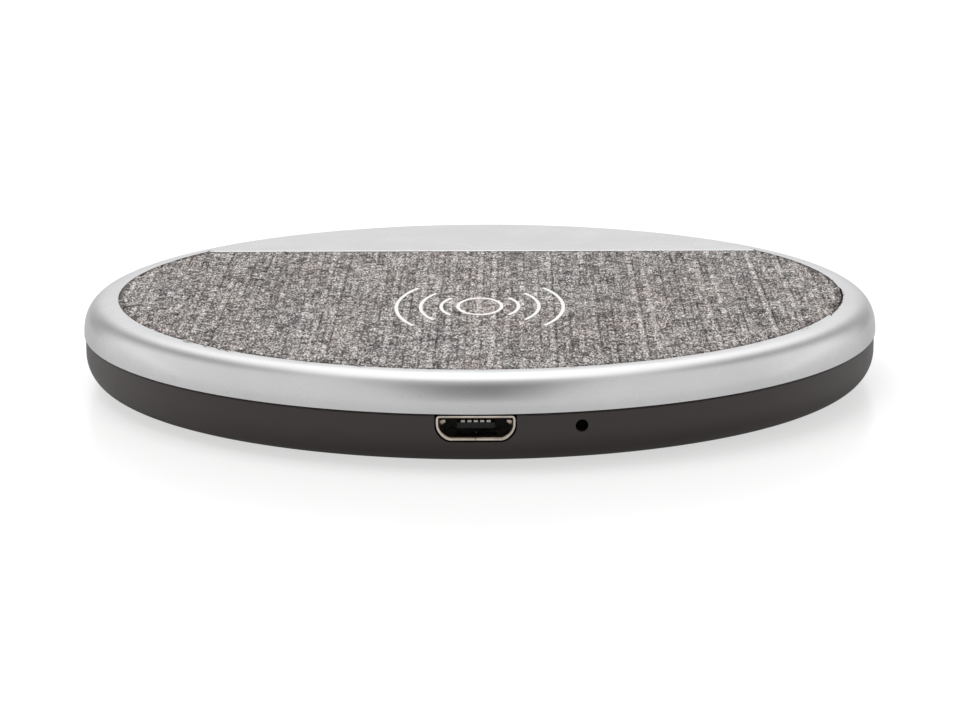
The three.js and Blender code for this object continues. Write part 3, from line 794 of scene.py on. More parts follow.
def level_rod(
    name: str, place: tuple[float, float], radius: float, front: float, back: float, sides: int = 32
) -> bpy.types.Object:
    """A rod that lies along Y.

    Args:
        name: the piece's name.
        place: its x and z.
        radius: its radius.
        front: its lower y.
        back: its higher y.
        sides: facets round it.

    Returns:
        The rod.
    """
    bpy.ops.object.select_all(action="DESELECT")
    bpy.ops.mesh.primitive_cylinder_add(
        vertices=sides,
        radius=radius,
        depth=back - front,
        location=(place[0], (front + back) / 2, place[1]),
        rotation=(math.pi / 2, 0, 0),
    )
    return take_name(name)


def brick(
    name: str, size: tuple[float, float, float], place: tuple[float, float, float]
) -> bpy.types.Object:
    """A square block, as a tab or as a cutter.

    Args:
        name: the piece's name.
        size: its lengths along X, Y and Z.
        place: its middle.

    Returns:
        The block.
    """
    bpy.ops.object.select_all(action="DESELECT")
    bpy.ops.mesh.primitive_cube_add(size=1, location=place)
    bpy.context.object.scale = size
    return take_name(name)


def combine(piece: bpy.types.Object, other: bpy.types.Object, how: Join) -> None:
    """Adds another solid to a piece or cuts it away, and uses it up.

    Args:
        piece: the solid that stays.
        other: the solid that is added or taken away.
        how: which of the two.
    """
    activate(piece)
    modifier = piece.modifiers.new("shape", "BOOLEAN")
    modifier.operation = how.value
    modifier.solver = "EXACT"
    modifier.object = other
    bpy.ops.object.modifier_apply(modifier=modifier.name)
    bpy.data.objects.remove(other)


def soften(piece: bpy.types.Object, width: float, segments: int = 2, angle: float = 35.0) -> None:
    """Rounds a piece's sharp edges a little.

    Args:
        piece: the solid.
        width: the rounding's width.
        segments: facets across it.
        angle: edges sharper than this many degrees are rounded.
    """
    activate(piece)
    modifier = piece.modifiers.new("edges", "BEVEL")
    modifier.width = width
    modifier.segments = segments
    modifier.limit_method = "ANGLE"
    modifier.angle_limit = math.radians(angle)
    modifier.use_clamp_overlap = True
    bpy.ops.object.modifier_apply(modifier=modifier.name)


def smooth(piece: bpy.types.Object, angle: float = 32.0) -> None:
    """Shades a piece smooth up to an angle between faces."""
    activate(piece)
    bpy.ops.object.shade_smooth_by_angle(angle=math.radians(angle))


def install(piece: bpy.types.Object, finish: Finish, nodes: Sequence[str]) -> None:
    """Dresses a finished piece, and puts it in place of its CAD nodes.

    Args:
        piece: the finished piece.
        finish: what covers it.
        nodes: the CAD nodes that it stands for.
    """
    piece.data.materials.clear()
    piece.data.materials.append(finish.material())
    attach(piece, "root")
    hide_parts(*nodes)
    log.info("%s: %d faces, finished in %s", piece.name, len(piece.data.polygons), finish.name)


def dress(frame: dict, node: str, finish: Finish) -> None:
    """Gives a carried-over CAD node its finish.

    Args:
        node: the node's name.
        finish: what covers it.
    """
    body = frame["nodes"][node]
    for slot in body.material_slots:
        slot.material = finish.material()
    log.info("%s: finished in %s", node, finish.name)


def rounded_edge(
    radius: float, width: float, middle: float, height: float, fullness: float, steps: int
) -> Profile:
    """A quarter superellipse, from the flat part out to the widest point.

    Args:
        radius: where the rounding starts.
        width: how far out it reaches.
        middle: the height of its widest point.
        height: how far above or below that it starts.
        fullness: the superellipse's exponent.
        steps: facets along it.

    Returns:
        Radius and height of each point.
    """
    points = []
    for step in range(steps + 1):
        turn = math.pi / 2 * step / steps
        out = math.sin(turn) ** (2 / fullness)
        rise = max(math.cos(turn), 0.0) ** (2 / fullness)
        points.append((radius + width * out, middle + height * rise))
    return points


# ------------------------------------------------------------------ sub-assemblies


@dataclass
class Bezel:
    """The silver ring and the flat segment behind the cloth, made as one piece."""

    finish: Finish
    cloth_gap: float = 0.1 * MM
    fullness: float = 2.5
    wall: float = 1.5 * MM
    plate: float = 1.3 * MM
    inner_chamfer: float = 1.3 * MM
    lip: float = 0.2 * MM
    flat_margin: float = 0.35 * MM
    steps: int = 240
    round_steps: int = 28

    def build(self) -> bpy.types.Object:
        """Turns the rounded disc, opens it for the cloth and breaks the opening's edge."""
        low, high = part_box("bezel")
        cloth_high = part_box("cloth_cover")[1]
        self.opening = cloth_high.x + self.cloth_gap
        self.chord = cloth_high.y + self.cloth_gap
        self.top = high.z
        under = high.z - self.plate
        inner = high.x - self.wall
        rounding = rounded_edge(
            radius=self.opening,
            width=high.x - self.opening,
            middle=low.z,
            height=high.z - low.z,
            fullness=self.fullness,
            steps=self.round_steps,
        )
        profile = [
            (0.0, high.z),
            (self.opening - self.flat_margin, high.z),
            *rounding,
            (inner, low.z),
            (inner, under - self.inner_chamfer),
            (inner - self.inner_chamfer, under),
            (0.0, under),
        ]
        ring = revolve("bezel_ring", profile, self.steps)
        combine(ring, self._opening_cutter(under, high.z), Join.REMOVE)
        with editing(ring, "EDGE"):
            pick(ring, "edges", self._on_lip)
            bpy.ops.mesh.bevel(offset=self.lip, segments=2, profile=0.5, affect="EDGES")
        smooth(ring, 14)
        install(ring, self.finish, ["bezel"])
        return ring

    def _opening_cutter(self, bottom: float, top: float) -> bpy.types.Object:
        """A D-shaped plug, round in front and straight at the back."""
        plug = upright_rod("opening", (0, 0), self.opening, bottom - MM, top + MM, self.steps)
        with editing(plug):
            bpy.ops.mesh.select_all(action="SELECT")
            bpy.ops.mesh.bisect(
                plane_co=(0, self.chord, 0), plane_no=(0, 1, 0), use_fill=True, clear_outer=True
            )
        return plug

    def _on_lip(self, middle: Vector, direction: Vector) -> bool:
        """Whether an edge runs along the opening's upper edge."""
        if abs(middle.z - self.top) > 10 * WELD:
            return False
        on_chord = abs(middle.y - self.chord) < 10 * WELD and abs(direction.y) < 0.01
        reach = math.hypot(middle.x, middle.y)
        tangent = abs(middle.x * direction.x + middle.y * direction.y) / reach
        on_arc = abs(reach - self.opening) < 0.02 * MM and tangent < 0.02
        return on_chord or (on_arc and middle.y < self.chord)


@dataclass
class BaseShell:
    """The dark lower shell with its rounded underside, posts, notch and light hole."""

    finish: Finish
    socket: "ChargingSocket"
    round_width: float = 3.5 * MM
    round_height: float = 3.5 * MM
    fullness: float = 2.2
    floor: float = 1.4 * MM
    wall: float = 2.5 * MM
    inner_chamfer: float = 1.4 * MM
    tongue: float = 1.0 * MM
    tongue_inset: float = 1.55 * MM
    rim_edge: float = 0.12 * MM
    foot_gap: float = 0.2 * MM
    pillar_gap: float = 0.1 * MM
    post_root: float = 0.5
    foot_recess: float = 0.8 * MM
    post: float = 2.8 * MM
    post_height: float = 4.1 * MM
    screw_seat: float = 2.2 * MM
    head_room: float = 2.05 * MM
    shank_room: float = 1.15 * MM
    tip_room: float = 0.2 * MM
    board_post: float = 2.2 * MM
    rest_post: float = 1.6 * MM
    rest_places: tuple[float, float] = (12.0 * MM, -3.0 * MM)
    pillar: float = 2.0 * MM
    pillar_places: tuple[tuple[float, float], ...] = (
        (-10.0 * MM, 13.7 * MM),
        (10.0 * MM, 13.7 * MM),
        (0.0, 19.0 * MM),
    )
    light_hole: float = 0.65 * MM
    steps: int = 240
    round_steps: int = 22

    def build(self) -> bpy.types.Object:
        """Turns the shell, stands its posts in it and cuts its recesses and holes."""
        low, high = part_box("base_shell")
        self.low, self.rim = low, high.z - self.tongue
        self.radius = high.x
        shell = revolve("base_case", self._profile(), self.steps)
        for post in self._posts():
            combine(shell, post, Join.ADD)
        for cutter in self._cutters():
            combine(shell, cutter, Join.REMOVE)
        smooth(shell)
        install(shell, self.finish, ["base_shell"])
        return shell

    def _profile(self) -> Profile:
        """The shell's section, from the middle of its underside round to the middle of its floor."""
        rounding = rounded_edge(
            radius=self.radius - self.round_width,
            width=self.round_width,
            middle=0.0,
            height=self.round_height,
            fullness=self.fullness,
            steps=self.round_steps,
        )
        corner = [(r, self.low.z + self.round_height - z) for r, z in rounding]
        inner = self.radius - self.wall
        tongue = self.radius - self.tongue_inset
        top = self.low.z + self.floor
        return [
            (0.0, self.low.z),
            *corner,
            (self.radius, self.rim - self.rim_edge),
            (self.radius - self.rim_edge, self.rim),
            (tongue, self.rim),
            (tongue, self.rim + self.tongue),
            (inner, self.rim + self.tongue),
            (inner, top + self.inner_chamfer),
            (inner - self.inner_chamfer, top),
            (0.0, top),
        ]

    def _posts(self) -> Iterator[bpy.types.Object]:
        """Posts for case screws and board screws, rests for the board and pillars for the ferrite."""
        foot = self.low.z + self.floor * self.post_root
        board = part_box("circuit_board")
        post_top = self.low.z + self.post_height
        for index in range(1, 5):
            yield upright_rod("post", middle(f"case_screw_{index}"), self.post, foot, post_top)
        for side in Side:
            screw = middle(f"board_screw_{side.name.lower()}")
            yield upright_rod("post", screw, self.board_post, foot, board[0].z)
            rest = (side.value * self.rest_places[0], board[1].y + self.rest_places[1])
            yield upright_rod("post", rest, self.rest_post, foot, board[0].z)
        coil_y = middle("ferrite_plate")[1]
        pillar_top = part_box("ferrite_plate")[0].z - self.pillar_gap
        for x, y in self.pillar_places:
            yield upright_rod("post", (x, coil_y + y), self.pillar, foot, pillar_top)

    def _cutters(self) -> Iterator[bpy.types.Object]:
        """Foot recesses, screw holes, the socket's notch and the light hole."""
        under = self.low.z - MM
        for index in range(1, 5):
            foot_low, foot_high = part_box(f"foot_{index}")
            place = middle(f"foot_{index}")
            recess = (foot_high.x - foot_low.x) / 2 + self.foot_gap
            yield upright_rod("recess", place, recess, under, self.low.z + self.foot_recess, 64)
            yield upright_rod("seat", place, self.head_room, under, self.low.z + self.screw_seat)
            yield upright_rod("hole", place, self.shank_room, under, self.rim)
        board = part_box("circuit_board")
        for side in Side:
            screw = f"board_screw_{side.name.lower()}"
            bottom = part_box(screw)[0].z - self.tip_room
            yield upright_rod("hole", middle(screw), self.shank_room, bottom, board[0].z + MM)
        outside, inside = -self.radius - MM, self.wall - self.radius + MM
        yield self.socket.notch(outside, inside)
        pipe_low, pipe_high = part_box("light_pipe")
        place = ((pipe_low.x + pipe_high.x) / 2, (pipe_low.z + pipe_high.z) / 2)
        yield level_rod("light_hole", place, self.light_hole, outside, inside + MM, 48)


def middle(node: str) -> tuple[float, float]:
    """The x and y of a CAD node's middle."""
    low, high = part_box(node)
    return (low.x + high.x) / 2, (low.y + high.y) / 2


@dataclass
class ChargingSocket:
    """The micro-USB socket: a folded metal shell with a flared lip, its block and contacts."""

    shell_finish: Finish
    block_finish: Finish
    contact_finish: Finish
    contacts: int = 5
    half_to_height: float = 4.0 / 2.54
    corner: float = 1.4 * MM
    corner_follow: float = 0.6
    corner_bulge: float = 0.42
    corner_steps: int = 6
    small_corner: float = 0.3 * MM
    sheet: float = 0.18 * MM
    flare: float = 0.15 * MM
    flare_run: float = 0.34 * MM
    flare_start: float = 0.25
    gap: float = 0.17 * MM
    rim_round: float = 0.06 * MM
    lip_step: float = 0.08 * MM
    tab: tuple[float, float, float] = (1.3 * MM, 1.4 * MM, 0.27 * MM)
    fold: tuple[float, float, float] = (0.07 * MM, 2.5 * MM, 1.6 * MM)

    def measure(self) -> None:
        """Takes the lip's size and place from the frame."""
        low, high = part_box("usb_shell")
        self.front, self.back = low.y, high.y
        self.bottom, self.top = low.z, high.z
        self.half = (self.top - self.bottom) * self.half_to_height

    def _outline(self, name: str, grow: float, y: float, raise_top: float = 0.0) -> bpy.types.Object:
        """A flat face with the socket's outline: wide at the top, cut-off corners below.

        Args:
            name: the face's name.
            grow: how far the outline stands outside the lip's.
            y: where it is.
            raise_top: how much further the top edge stands.

        Returns:
            The face.
        """
        bpy.ops.object.select_all(action="DESELECT")
        low, high = self.bottom - grow, self.top + grow + raise_top
        bpy.ops.mesh.primitive_plane_add(
            size=1, location=(0, y, (low + high) / 2), rotation=(math.pi / 2, 0, 0)
        )
        bpy.context.object.scale = (2 * (self.half + grow), high - low, 1)
        face = take_name(name)
        centre = (low + high) / 2
        with editing(face):
            pick(face, "verts", lambda place, _: place.z < centre)
            bpy.ops.mesh.bevel(
                offset=self.corner + grow * self.corner_follow,
                segments=self.corner_steps,
                profile=self.corner_bulge,
                affect="VERTICES",
            )
            bpy.ops.mesh.select_all(action="DESELECT")
            pick(face, "verts", lambda place, _: place.z > high - WELD)
            bpy.ops.mesh.bevel(offset=self.small_corner, segments=4, profile=0.5, affect="VERTICES")
        return face

    def notch(self, front: float, back: float) -> bpy.types.Object:
        """The cutter that lets the socket through the base's wall.

        Args:
            front: where it starts.
            back: where it ends.

        Returns:
            The closed cutter.
        """
        cutter = self._outline("notch", self.gap, front, raise_top=2 * MM)
        with editing(cutter, "FACE"):
            bpy.ops.mesh.select_all(action="SELECT")
            draw_out(back - front)
            bpy.ops.mesh.select_all(action="SELECT")
            bpy.ops.mesh.normals_make_consistent(inside=False)
        return cutter

    def build(self, frame: dict) -> bpy.types.Object:
        """Folds the shell and dresses the block and the contacts.


        Returns:
            The shell.
        """
        shell = self._folded_sheet()
        self._thicken(shell)
        soften(shell, self.rim_round, 2, 50)
        combine(shell, self._fold_line(), Join.REMOVE)
        for side in Side:
            combine(shell, self._tab(side), Join.ADD)
        smooth(shell)
        install(shell, self.shell_finish, ["usb_shell"])
        dress(frame, "usb_insulator", self.block_finish)
        for index in range(1, self.contacts + 1):
            dress(frame, f"usb_contact_{index}", self.contact_finish)
        return shell

    def _folded_sheet(self) -> bpy.types.Object:
        """The sheet's outside: a straight tube, a flare in two steps and the lip, open at both ends.

        Returns:
            The sheet, still without thickness.
        """
        sheet = self._outline("socket_shell", -self.flare, self.back)
        height = self.top - self.bottom
        wide = self.half / (self.half - self.flare)
        tall = height / (height - 2 * self.flare)
        begun = (1 + (wide - 1) * self.flare_start, 1, 1 + (tall - 1) * self.flare_start)
        finished = (wide / begun[0], 1, tall / begun[2])
        centre = (0, self.front, (self.bottom + self.top) / 2)
        with editing(sheet, "FACE"):
            bpy.ops.mesh.select_all(action="SELECT")
            draw_out(self.front + self.flare_run - self.back)
            for growth in (begun, finished):
                draw_out((self.lip_step - self.flare_run) / 2)
                bpy.ops.transform.resize(value=growth, center_override=centre)
            draw_out(-self.lip_step)
            bpy.ops.mesh.delete(type="FACE")
            pick(sheet, "faces", lambda place, normal: abs(normal.y) > 0.99)
            bpy.ops.mesh.delete(type="FACE")
            bpy.ops.mesh.select_all(action="SELECT")
            bpy.ops.mesh.normals_make_consistent(inside=False)
        return sheet

    def _thicken(self, shell: bpy.types.Object) -> None:
        """Gives the folded sheet its thickness, inwards."""
        activate(shell)
        modifier = shell.modifiers.new("sheet", "SOLIDIFY")
        modifier.thickness = self.sheet
        modifier.offset = -1
        modifier.use_even_offset = True
        bpy.ops.object.modifier_apply(modifier=modifier.name)

    def _fold_line(self) -> bpy.types.Object:
        """The slit in the underside where the folded sheet's two edges meet."""
        width, length, tall = self.fold
        place = (0, self.front + length / 2 - WELD, self.bottom)
        return brick("fold_line", (width, length + width, tall), place)

    def _tab(self, side: Side) -> bpy.types.Object:
        """A foot of the shell that is soldered to the board."""
        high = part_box("usb_shell")[1]
        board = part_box("circuit_board")[1].z
        width, length, thick = self.tab
        place = (side.value * (high.x - width / 2), self.back - length / 2, board + thick / 2)
        return brick("tab", self.tab, place)


@dataclass
class ClothCover:
    """The woven cloth, with every thread crossing raised in the mesh."""

    finish: MelangeCloth
    column: float = 0.8 * MM
    row: float = 0.925 * MM
    across_step: float = 0.205 * MM
    along_step: float = 0.245 * MM
    rib_rise: float = 0.2 * MM
    rib_half: float = 0.53
    groove: float = 0.06 * MM
    fuzz: float = 0.05 * MM
    base_level: float = -0.02 * MM
    cut_edge: float = 0.9 * MM
    press: float = 0.3 * MM
    press_reach: float = 1.6
    press_level: float = 0.55
    fray: float = 0.2 * MM
    fray_size: float = 0.5 * MM
    snap: float = 0.6
    tuck: float = 1.2
    edge_drop: float = 0.05 * MM
    rib_sway: float = 0.3
    stitch_sway: float = 0.35
    plumpness: float = 0.4
    yarn_contrast: float = 0.32
    stitch_contrast: float = 0.34
    slub_share: float = 0.06
    slub_drop: float = 0.3
    # Painted shade along the cut edge, as a drop in tone.
    edge_shade: float = 0.3
    clump: float = 1.1 * MM
    seed: int = 11

    def build(self) -> bpy.types.Object:
        """Cuts the grid to the D shape, raises its threads and closes its edge and underside."""
        self.low, self.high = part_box("cloth_cover")
        self.radius = self.high.x
        self.chord = self.high.y
        cloth = self._grid()
        self._trim(cloth)
        self._raise_threads(cloth)
        self._close(cloth)
        bpy.ops.object.shade_smooth()
        install(cloth, self.finish, ["cloth_cover"])
        self._cut_area()
        return cloth

    def _cut_area(self) -> float:
        """The D shape's area: a disc less the segment behind the chord."""
        segment = self.radius**2 * math.acos(self.chord / self.radius)
        segment -= self.chord * math.sqrt(self.radius**2 - self.chord**2)
        return math.pi * self.radius**2 - segment

    def _grid(self) -> bpy.types.Object:
        """A flat grid that covers the D shape."""
        margin = 2 * self.along_step
        width = self.high.x - self.low.x + margin
        length = self.high.y - self.low.y + margin
        bpy.ops.object.select_all(action="DESELECT")
        bpy.ops.mesh.primitive_grid_add(
            x_subdivisions=round(width / self.across_step),
            y_subdivisions=round(length / self.along_step),
            size=1,
            location=(0, (self.low.y + self.high.y) / 2, self.high.z),
        )
        bpy.context.object.scale = (width, length, 1)
        return take_name("woven_cloth")

    def _inside(self, points: np.ndarray) -> tuple[np.ndarray, np.ndarray]:
        """How far points lie inside the D outline with its frayed edge.

        Args:
            points: rows of x, y and z.

        Returns:
            Each point's distance inside, and the unit way out from it.
        """
        x, y = points[:, 0], points[:, 1]
        reach = np.hypot(x, y)
        fray = lattice_noise(x, y, self.fray_size, self.fray_size, self.seed + 5)
        fray = self.fray * (fray - 1)
        from_arc = self.radius - reach + fray
        from_chord = self.chord - y + fray
        out = np.zeros((len(points), 2))
        nearer_arc = from_arc < from_chord
        out[nearer_arc] = points[nearer_arc, :2] / np.maximum(reach[nearer_arc, None], WELD)
        out[~nearer_arc] = (0.0, 1.0)
        return np.minimum(from_arc, from_chord), out

    def _trim(self, cloth: bpy.types.Object) -> None:
        """Moves the points near the outline onto it, and deletes what is outside.

        Args:
            cloth: the flat grid.
        """
        points = read_points(cloth)
        inside, out = self._inside(points)
        near = np.abs(inside) < self.snap * self.along_step
        points[near, :2] += out[near] * inside[near, None]
        write_points(cloth, points)
        keep = (inside > 0) | near
        with editing(cloth, "VERT"):
            mesh = bmesh.from_edit_mesh(cloth.data)
            for vertex in mesh.verts:
                vertex.select_set(not keep[vertex.index])
            mesh.select_flush_mode()
            bmesh.update_edit_mesh(cloth.data)
            bpy.ops.mesh.delete(type="VERT")
            bpy.ops.mesh.select_all(action="SELECT")
            bpy.ops.mesh.delete_loose(use_verts=True, use_edges=True, use_faces=False)

    def _raise_threads(self, cloth: bpy.types.Object) -> None:
        """Lifts each crossing, presses the weave flat under the mark and colours the yarns.

        Args:
            cloth: the trimmed flat mesh.
        """
        points = read_points(cloth)
        x, y = points[:, 0], points[:, 1]
        sway_x = lattice_noise(x, y, 2.4 * MM, 5 * MM, self.seed) - 0.5
        sway_y = lattice_noise(x, y, 4 * MM, 2.2 * MM, self.seed + 1) - 0.5
        u = x / self.column + self.rib_sway * sway_x
        v = y / self.row + self.stitch_sway * sway_y
        column = np.round(u).astype(int)
        v = v + np.where(column % 2 == 0, 0.0, 0.5)
        row = np.round(v).astype(int)
        crest = self._thread(u - column)
        plump = 1 + self.plumpness * (scatter(column, row, self.seed + 2) - 0.5)
        rib = crest * (0.5 + 0.5 * self._thread(v - row)) * plump
        pair = 0.5 + 0.5 * np.cos(math.pi * (u - 0.5))
        height = self.rib_rise * rib - self.groove * pair * (1 - crest)
        height += self.fuzz * (np.random.default_rng(self.seed).random(len(x)) - 0.5)
        nearness = self.press_reach - self.finish.mark.clearance(x, y) / self.press
        height += np.clip(nearness, 0, 1) * (self.press_level * self.rib_rise - height)
        inside, _ = self._inside(points)
        tuck = np.clip(1 - inside / (self.tuck * self.along_step), 0, 1)
        points[:, 2] += self.base_level + height - self.edge_drop * tuck**2
        write_points(cloth, points)
        self._colour_yarns(cloth, x, y, column, row, height / self.rib_rise)

    def _thread(self, across: np.ndarray) -> np.ndarray:
        """The round top of a rib, 1 at its crest and 0 in the grooves beside it."""
        return np.sqrt(np.clip(1 - (across / self.rib_half) ** 2, 0, 1))

    def _colour_yarns(
        self,
        cloth: bpy.types.Object,
        x: np.ndarray,
        y: np.ndarray,
        column: np.ndarray,
        row: np.ndarray,
        height: np.ndarray,
    ) -> None:
        """Writes tone, darkened by painted shade towards the cut edge, warmth and height as a colour
        attribute.

        Args:
            cloth: the mesh.
            x: each point's x.
            y: each point's y.
            column: the rib nearest to each point.
            row: the stitch nearest to each point.
            height: the relief, as a share of a rib's.
        """
        seed = self.seed + 20
        along = lattice_noise(column * self.column, y, 0.5 * MM, 3.0 * MM, seed + 1)
        rib = 0.4 * scatter(column, 0 * column, seed) + 0.6 * along
        stitch = scatter(column, row, seed + 4)
        tone = 0.5 + self.yarn_contrast * (rib - 0.5) + self.stitch_contrast * (stitch - 0.5)
        tone += 0.04 * np.cos(math.pi * column)
        tone -= self.slub_drop * (scatter(column, row, seed + 5) < self.slub_share)
        patch = lattice_noise(x, y, 5 * MM, 14 * MM, seed + 6)
        strand = lattice_noise(column * self.column, y, 0.8 * MM, 9 * MM, seed + 7)
        warmth = np.clip((0.6 * patch + 0.4 * strand - 0.3) * 2.2, 0, 1)
        edge, _ = self._inside(np.column_stack([x, y, y]))
        clumps = 0.4 + 1.2 * lattice_noise(x, y, self.clump, self.clump, seed + 8)
        # Painted shade: the tone darkens in clumps towards the cut edge, where the cloth meets the bezel.
        tone -= self.edge_shade * clumps * np.clip(1 - edge / self.cut_edge, 0, 1)
        warmth = np.maximum(warmth, np.clip(1.4 - edge / self.cut_edge, 0, 1))
        values = np.ones((len(x), 4), np.float32)
        values[:, 0] = np.clip(tone, 0, 1)
        values[:, 1] = warmth
        values[:, 2] = np.clip(height, 0, 1)
        attribute = cloth.data.color_attributes.new(self.finish.yarn, "FLOAT_COLOR", "POINT")
        attribute.data.foreach_set("color", values.ravel())

    def _close(self, cloth: bpy.types.Object) -> None:
        """Takes the cut edge down to the tape and closes the underside.

        Args:
            cloth: the mesh with its threads raised.
        """
        bottom = self.low.z
        with editing(cloth, "EDGE"):
            bpy.ops.mesh.select_non_manifold(
                extend=False,
                use_wire=False,
                use_boundary=True,
                use_multi_face=False,
                use_non_contiguous=False,
                use_verts=False,
            )
            drop = (0, 0, bottom - self.high.z)
            bpy.ops.mesh.extrude_edges_move(TRANSFORM_OT_translate={"value": drop})
            bpy.ops.transform.resize(value=(1, 1, 0), center_override=(0, 0, bottom))
            bpy.ops.mesh.edge_face_add()
            bpy.ops.mesh.select_all(action="SELECT")
            bpy.ops.mesh.normals_make_consistent(inside=False)


def read_points(piece: bpy.types.Object) -> np.ndarray:
    """A mesh's points as rows of x, y and z."""
    flat = np.empty(len(piece.data.vertices) * 3, np.float64)
    piece.data.vertices.foreach_get("co", flat)
    return flat.reshape(-1, 3)


def write_points(piece: bpy.types.Object, points: np.ndarray) -> None:
    """Puts changed points back into a mesh."""
    piece.data.vertices.foreach_set("co", points.astype(np.float32).ravel())
    piece.data.update()


def scatter(column: np.ndarray, row: np.ndarray, seed: int) -> np.ndarray:
    """One steady random number, 0 to 1, for each column and row."""
    table = np.random.default_rng(seed).random((256, 256))
    return table[column % 256, row % 256]


def lattice_noise(x: np.ndarray, y: np.ndarray, cell_x: float, cell_y: float, seed: int) -> np.ndarray:
    """Smooth noise, 0 to 1, between random values on a lattice.

    Args:
        x: where across.
        y: where along.
        cell_x: the lattice's width.
        cell_y: the lattice's length.
        seed: which noise.

    Returns:
        The noise at each point.
    """
    gx, gy = x / cell_x, y / cell_y
    ix, iy = np.floor(gx).astype(int), np.floor(gy).astype(int)
    fx, fy = gx - ix, gy - iy
    fx, fy = fx * fx * (3 - 2 * fx), fy * fy * (3 - 2 * fy)
    near = scatter(ix, iy, seed) * (1 - fx) + scatter(ix + 1, iy, seed) * fx
    far = scatter(ix, iy + 1, seed) * (1 - fx) + scatter(ix + 1, iy + 1, seed) * fx
    return near * (1 - fy) + far * fy


@dataclass
class Feet:
    """Four round rubber feet, each modelled from the first."""

    finish: Finish
    edge: float = 0.22 * MM
    dish: float = 0.12 * MM
    rim: float = 0.9 * MM

    def build(self) -> list[bpy.types.Object]:
        """Models one foot and copies it to the other places.

        Returns:
            The four feet.
        """
        low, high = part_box("foot_1")
        radius = (high.x - low.x) / 2
        first = revolve("rubber_foot_1", self._profile(radius, high.z), 72)
        smooth(first, 40)
        feet = []
        for index in range(1, 5):
            foot = first.copy()
            foot.data = first.data.copy()
            foot.name = f"rubber_foot_pad_{index}"
            bpy.context.scene.collection.objects.link(foot)
            points = read_points(foot)
            points[:, :2] += middle(f"foot_{index}")
            write_points(foot, points)
            install(foot, self.finish, [f"foot_{index}"])
            feet.append(foot)
        bpy.data.objects.remove(first)
        return feet

    def _profile(self, radius: float, top: float) -> Profile:
        """The foot's section: a rounded edge round a slightly dished sole."""
        corner = [
            (radius - self.edge + self.edge * math.sin(turn), self.edge - self.edge * math.cos(turn))
            for turn in (math.pi / 2 * step / 5 for step in range(6))
        ]
        return [
            (0.0, self.dish),
            (radius - 2 * self.rim, self.dish),
            (radius - self.rim, 0.0),
            *corner,
            (radius, top),
            (0.0, top),
        ]


@dataclass
class StatusLight:
    """The light pipe in the base's wall and the lamp behind it."""

    pipe_finish: Finish
    lamp_finish: Finish
    dome: float = 0.16 * MM
    dome_steps: tuple[tuple[float, float], ...] = ((0.9, 0.45), (0.6, 0.85), (0.2, 1.0))

    def build(self, frame: dict) -> bpy.types.Object:
        """Models the pipe with a domed tip, and dresses the lamp.


        Returns:
            The pipe.
        """
        low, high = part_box("light_pipe")
        radius = (high.x - low.x) / 2
        place = ((low.x + high.x) / 2, (low.z + high.z) / 2)
        pipe = level_rod("light_guide", place, radius, low.y + self.dome, high.y, 40)
        with editing(pipe, "FACE"):
            pick(pipe, "faces", lambda _, normal: normal.y < -0.9)
            for size, share in self.dome_steps:
                draw_out(0)
                tip = (place[0], low.y + self.dome * (1 - share), place[1])
                bpy.ops.transform.resize(value=(size, 0, size), center_override=tip)
        smooth(pipe, 40)
        install(pipe, self.pipe_finish, ["light_pipe"])
        dress(frame, "status_led", self.lamp_finish)
        return pipe


@dataclass
class InnerWorks:
    """The pieces under the cloth, which keep their CAD shapes."""

    plastic: Finish
    tape: Finish
    steel: Finish
    copper: Finish
    ferrite: Finish
    foam: Finish
    board: Finish
    chip: Finish
    ceramic: Finish

    def build(self, frame: dict) -> None:
        """Dresses every inner node by its kind.
        """
        kinds = {
            "carrier_plate": self.plastic,
            "adhesive": self.tape,
            "screw": self.steel,
            "coil": self.copper,
            "ferrite": self.ferrite,
            "foam": self.foam,
            "circuit_board": self.board,
            "capacitor": self.ceramic,
            "chip": self.chip,
            "driver": self.chip,
            "sensor": self.chip,
        }
        for node in sorted(frame["nodes"]):
            if frame["nodes"][node].hide_render:
                continue
            finish = next((made for word, made in kinds.items() if word in node), None)
            if finish is not None:
                dress(frame, node, finish)


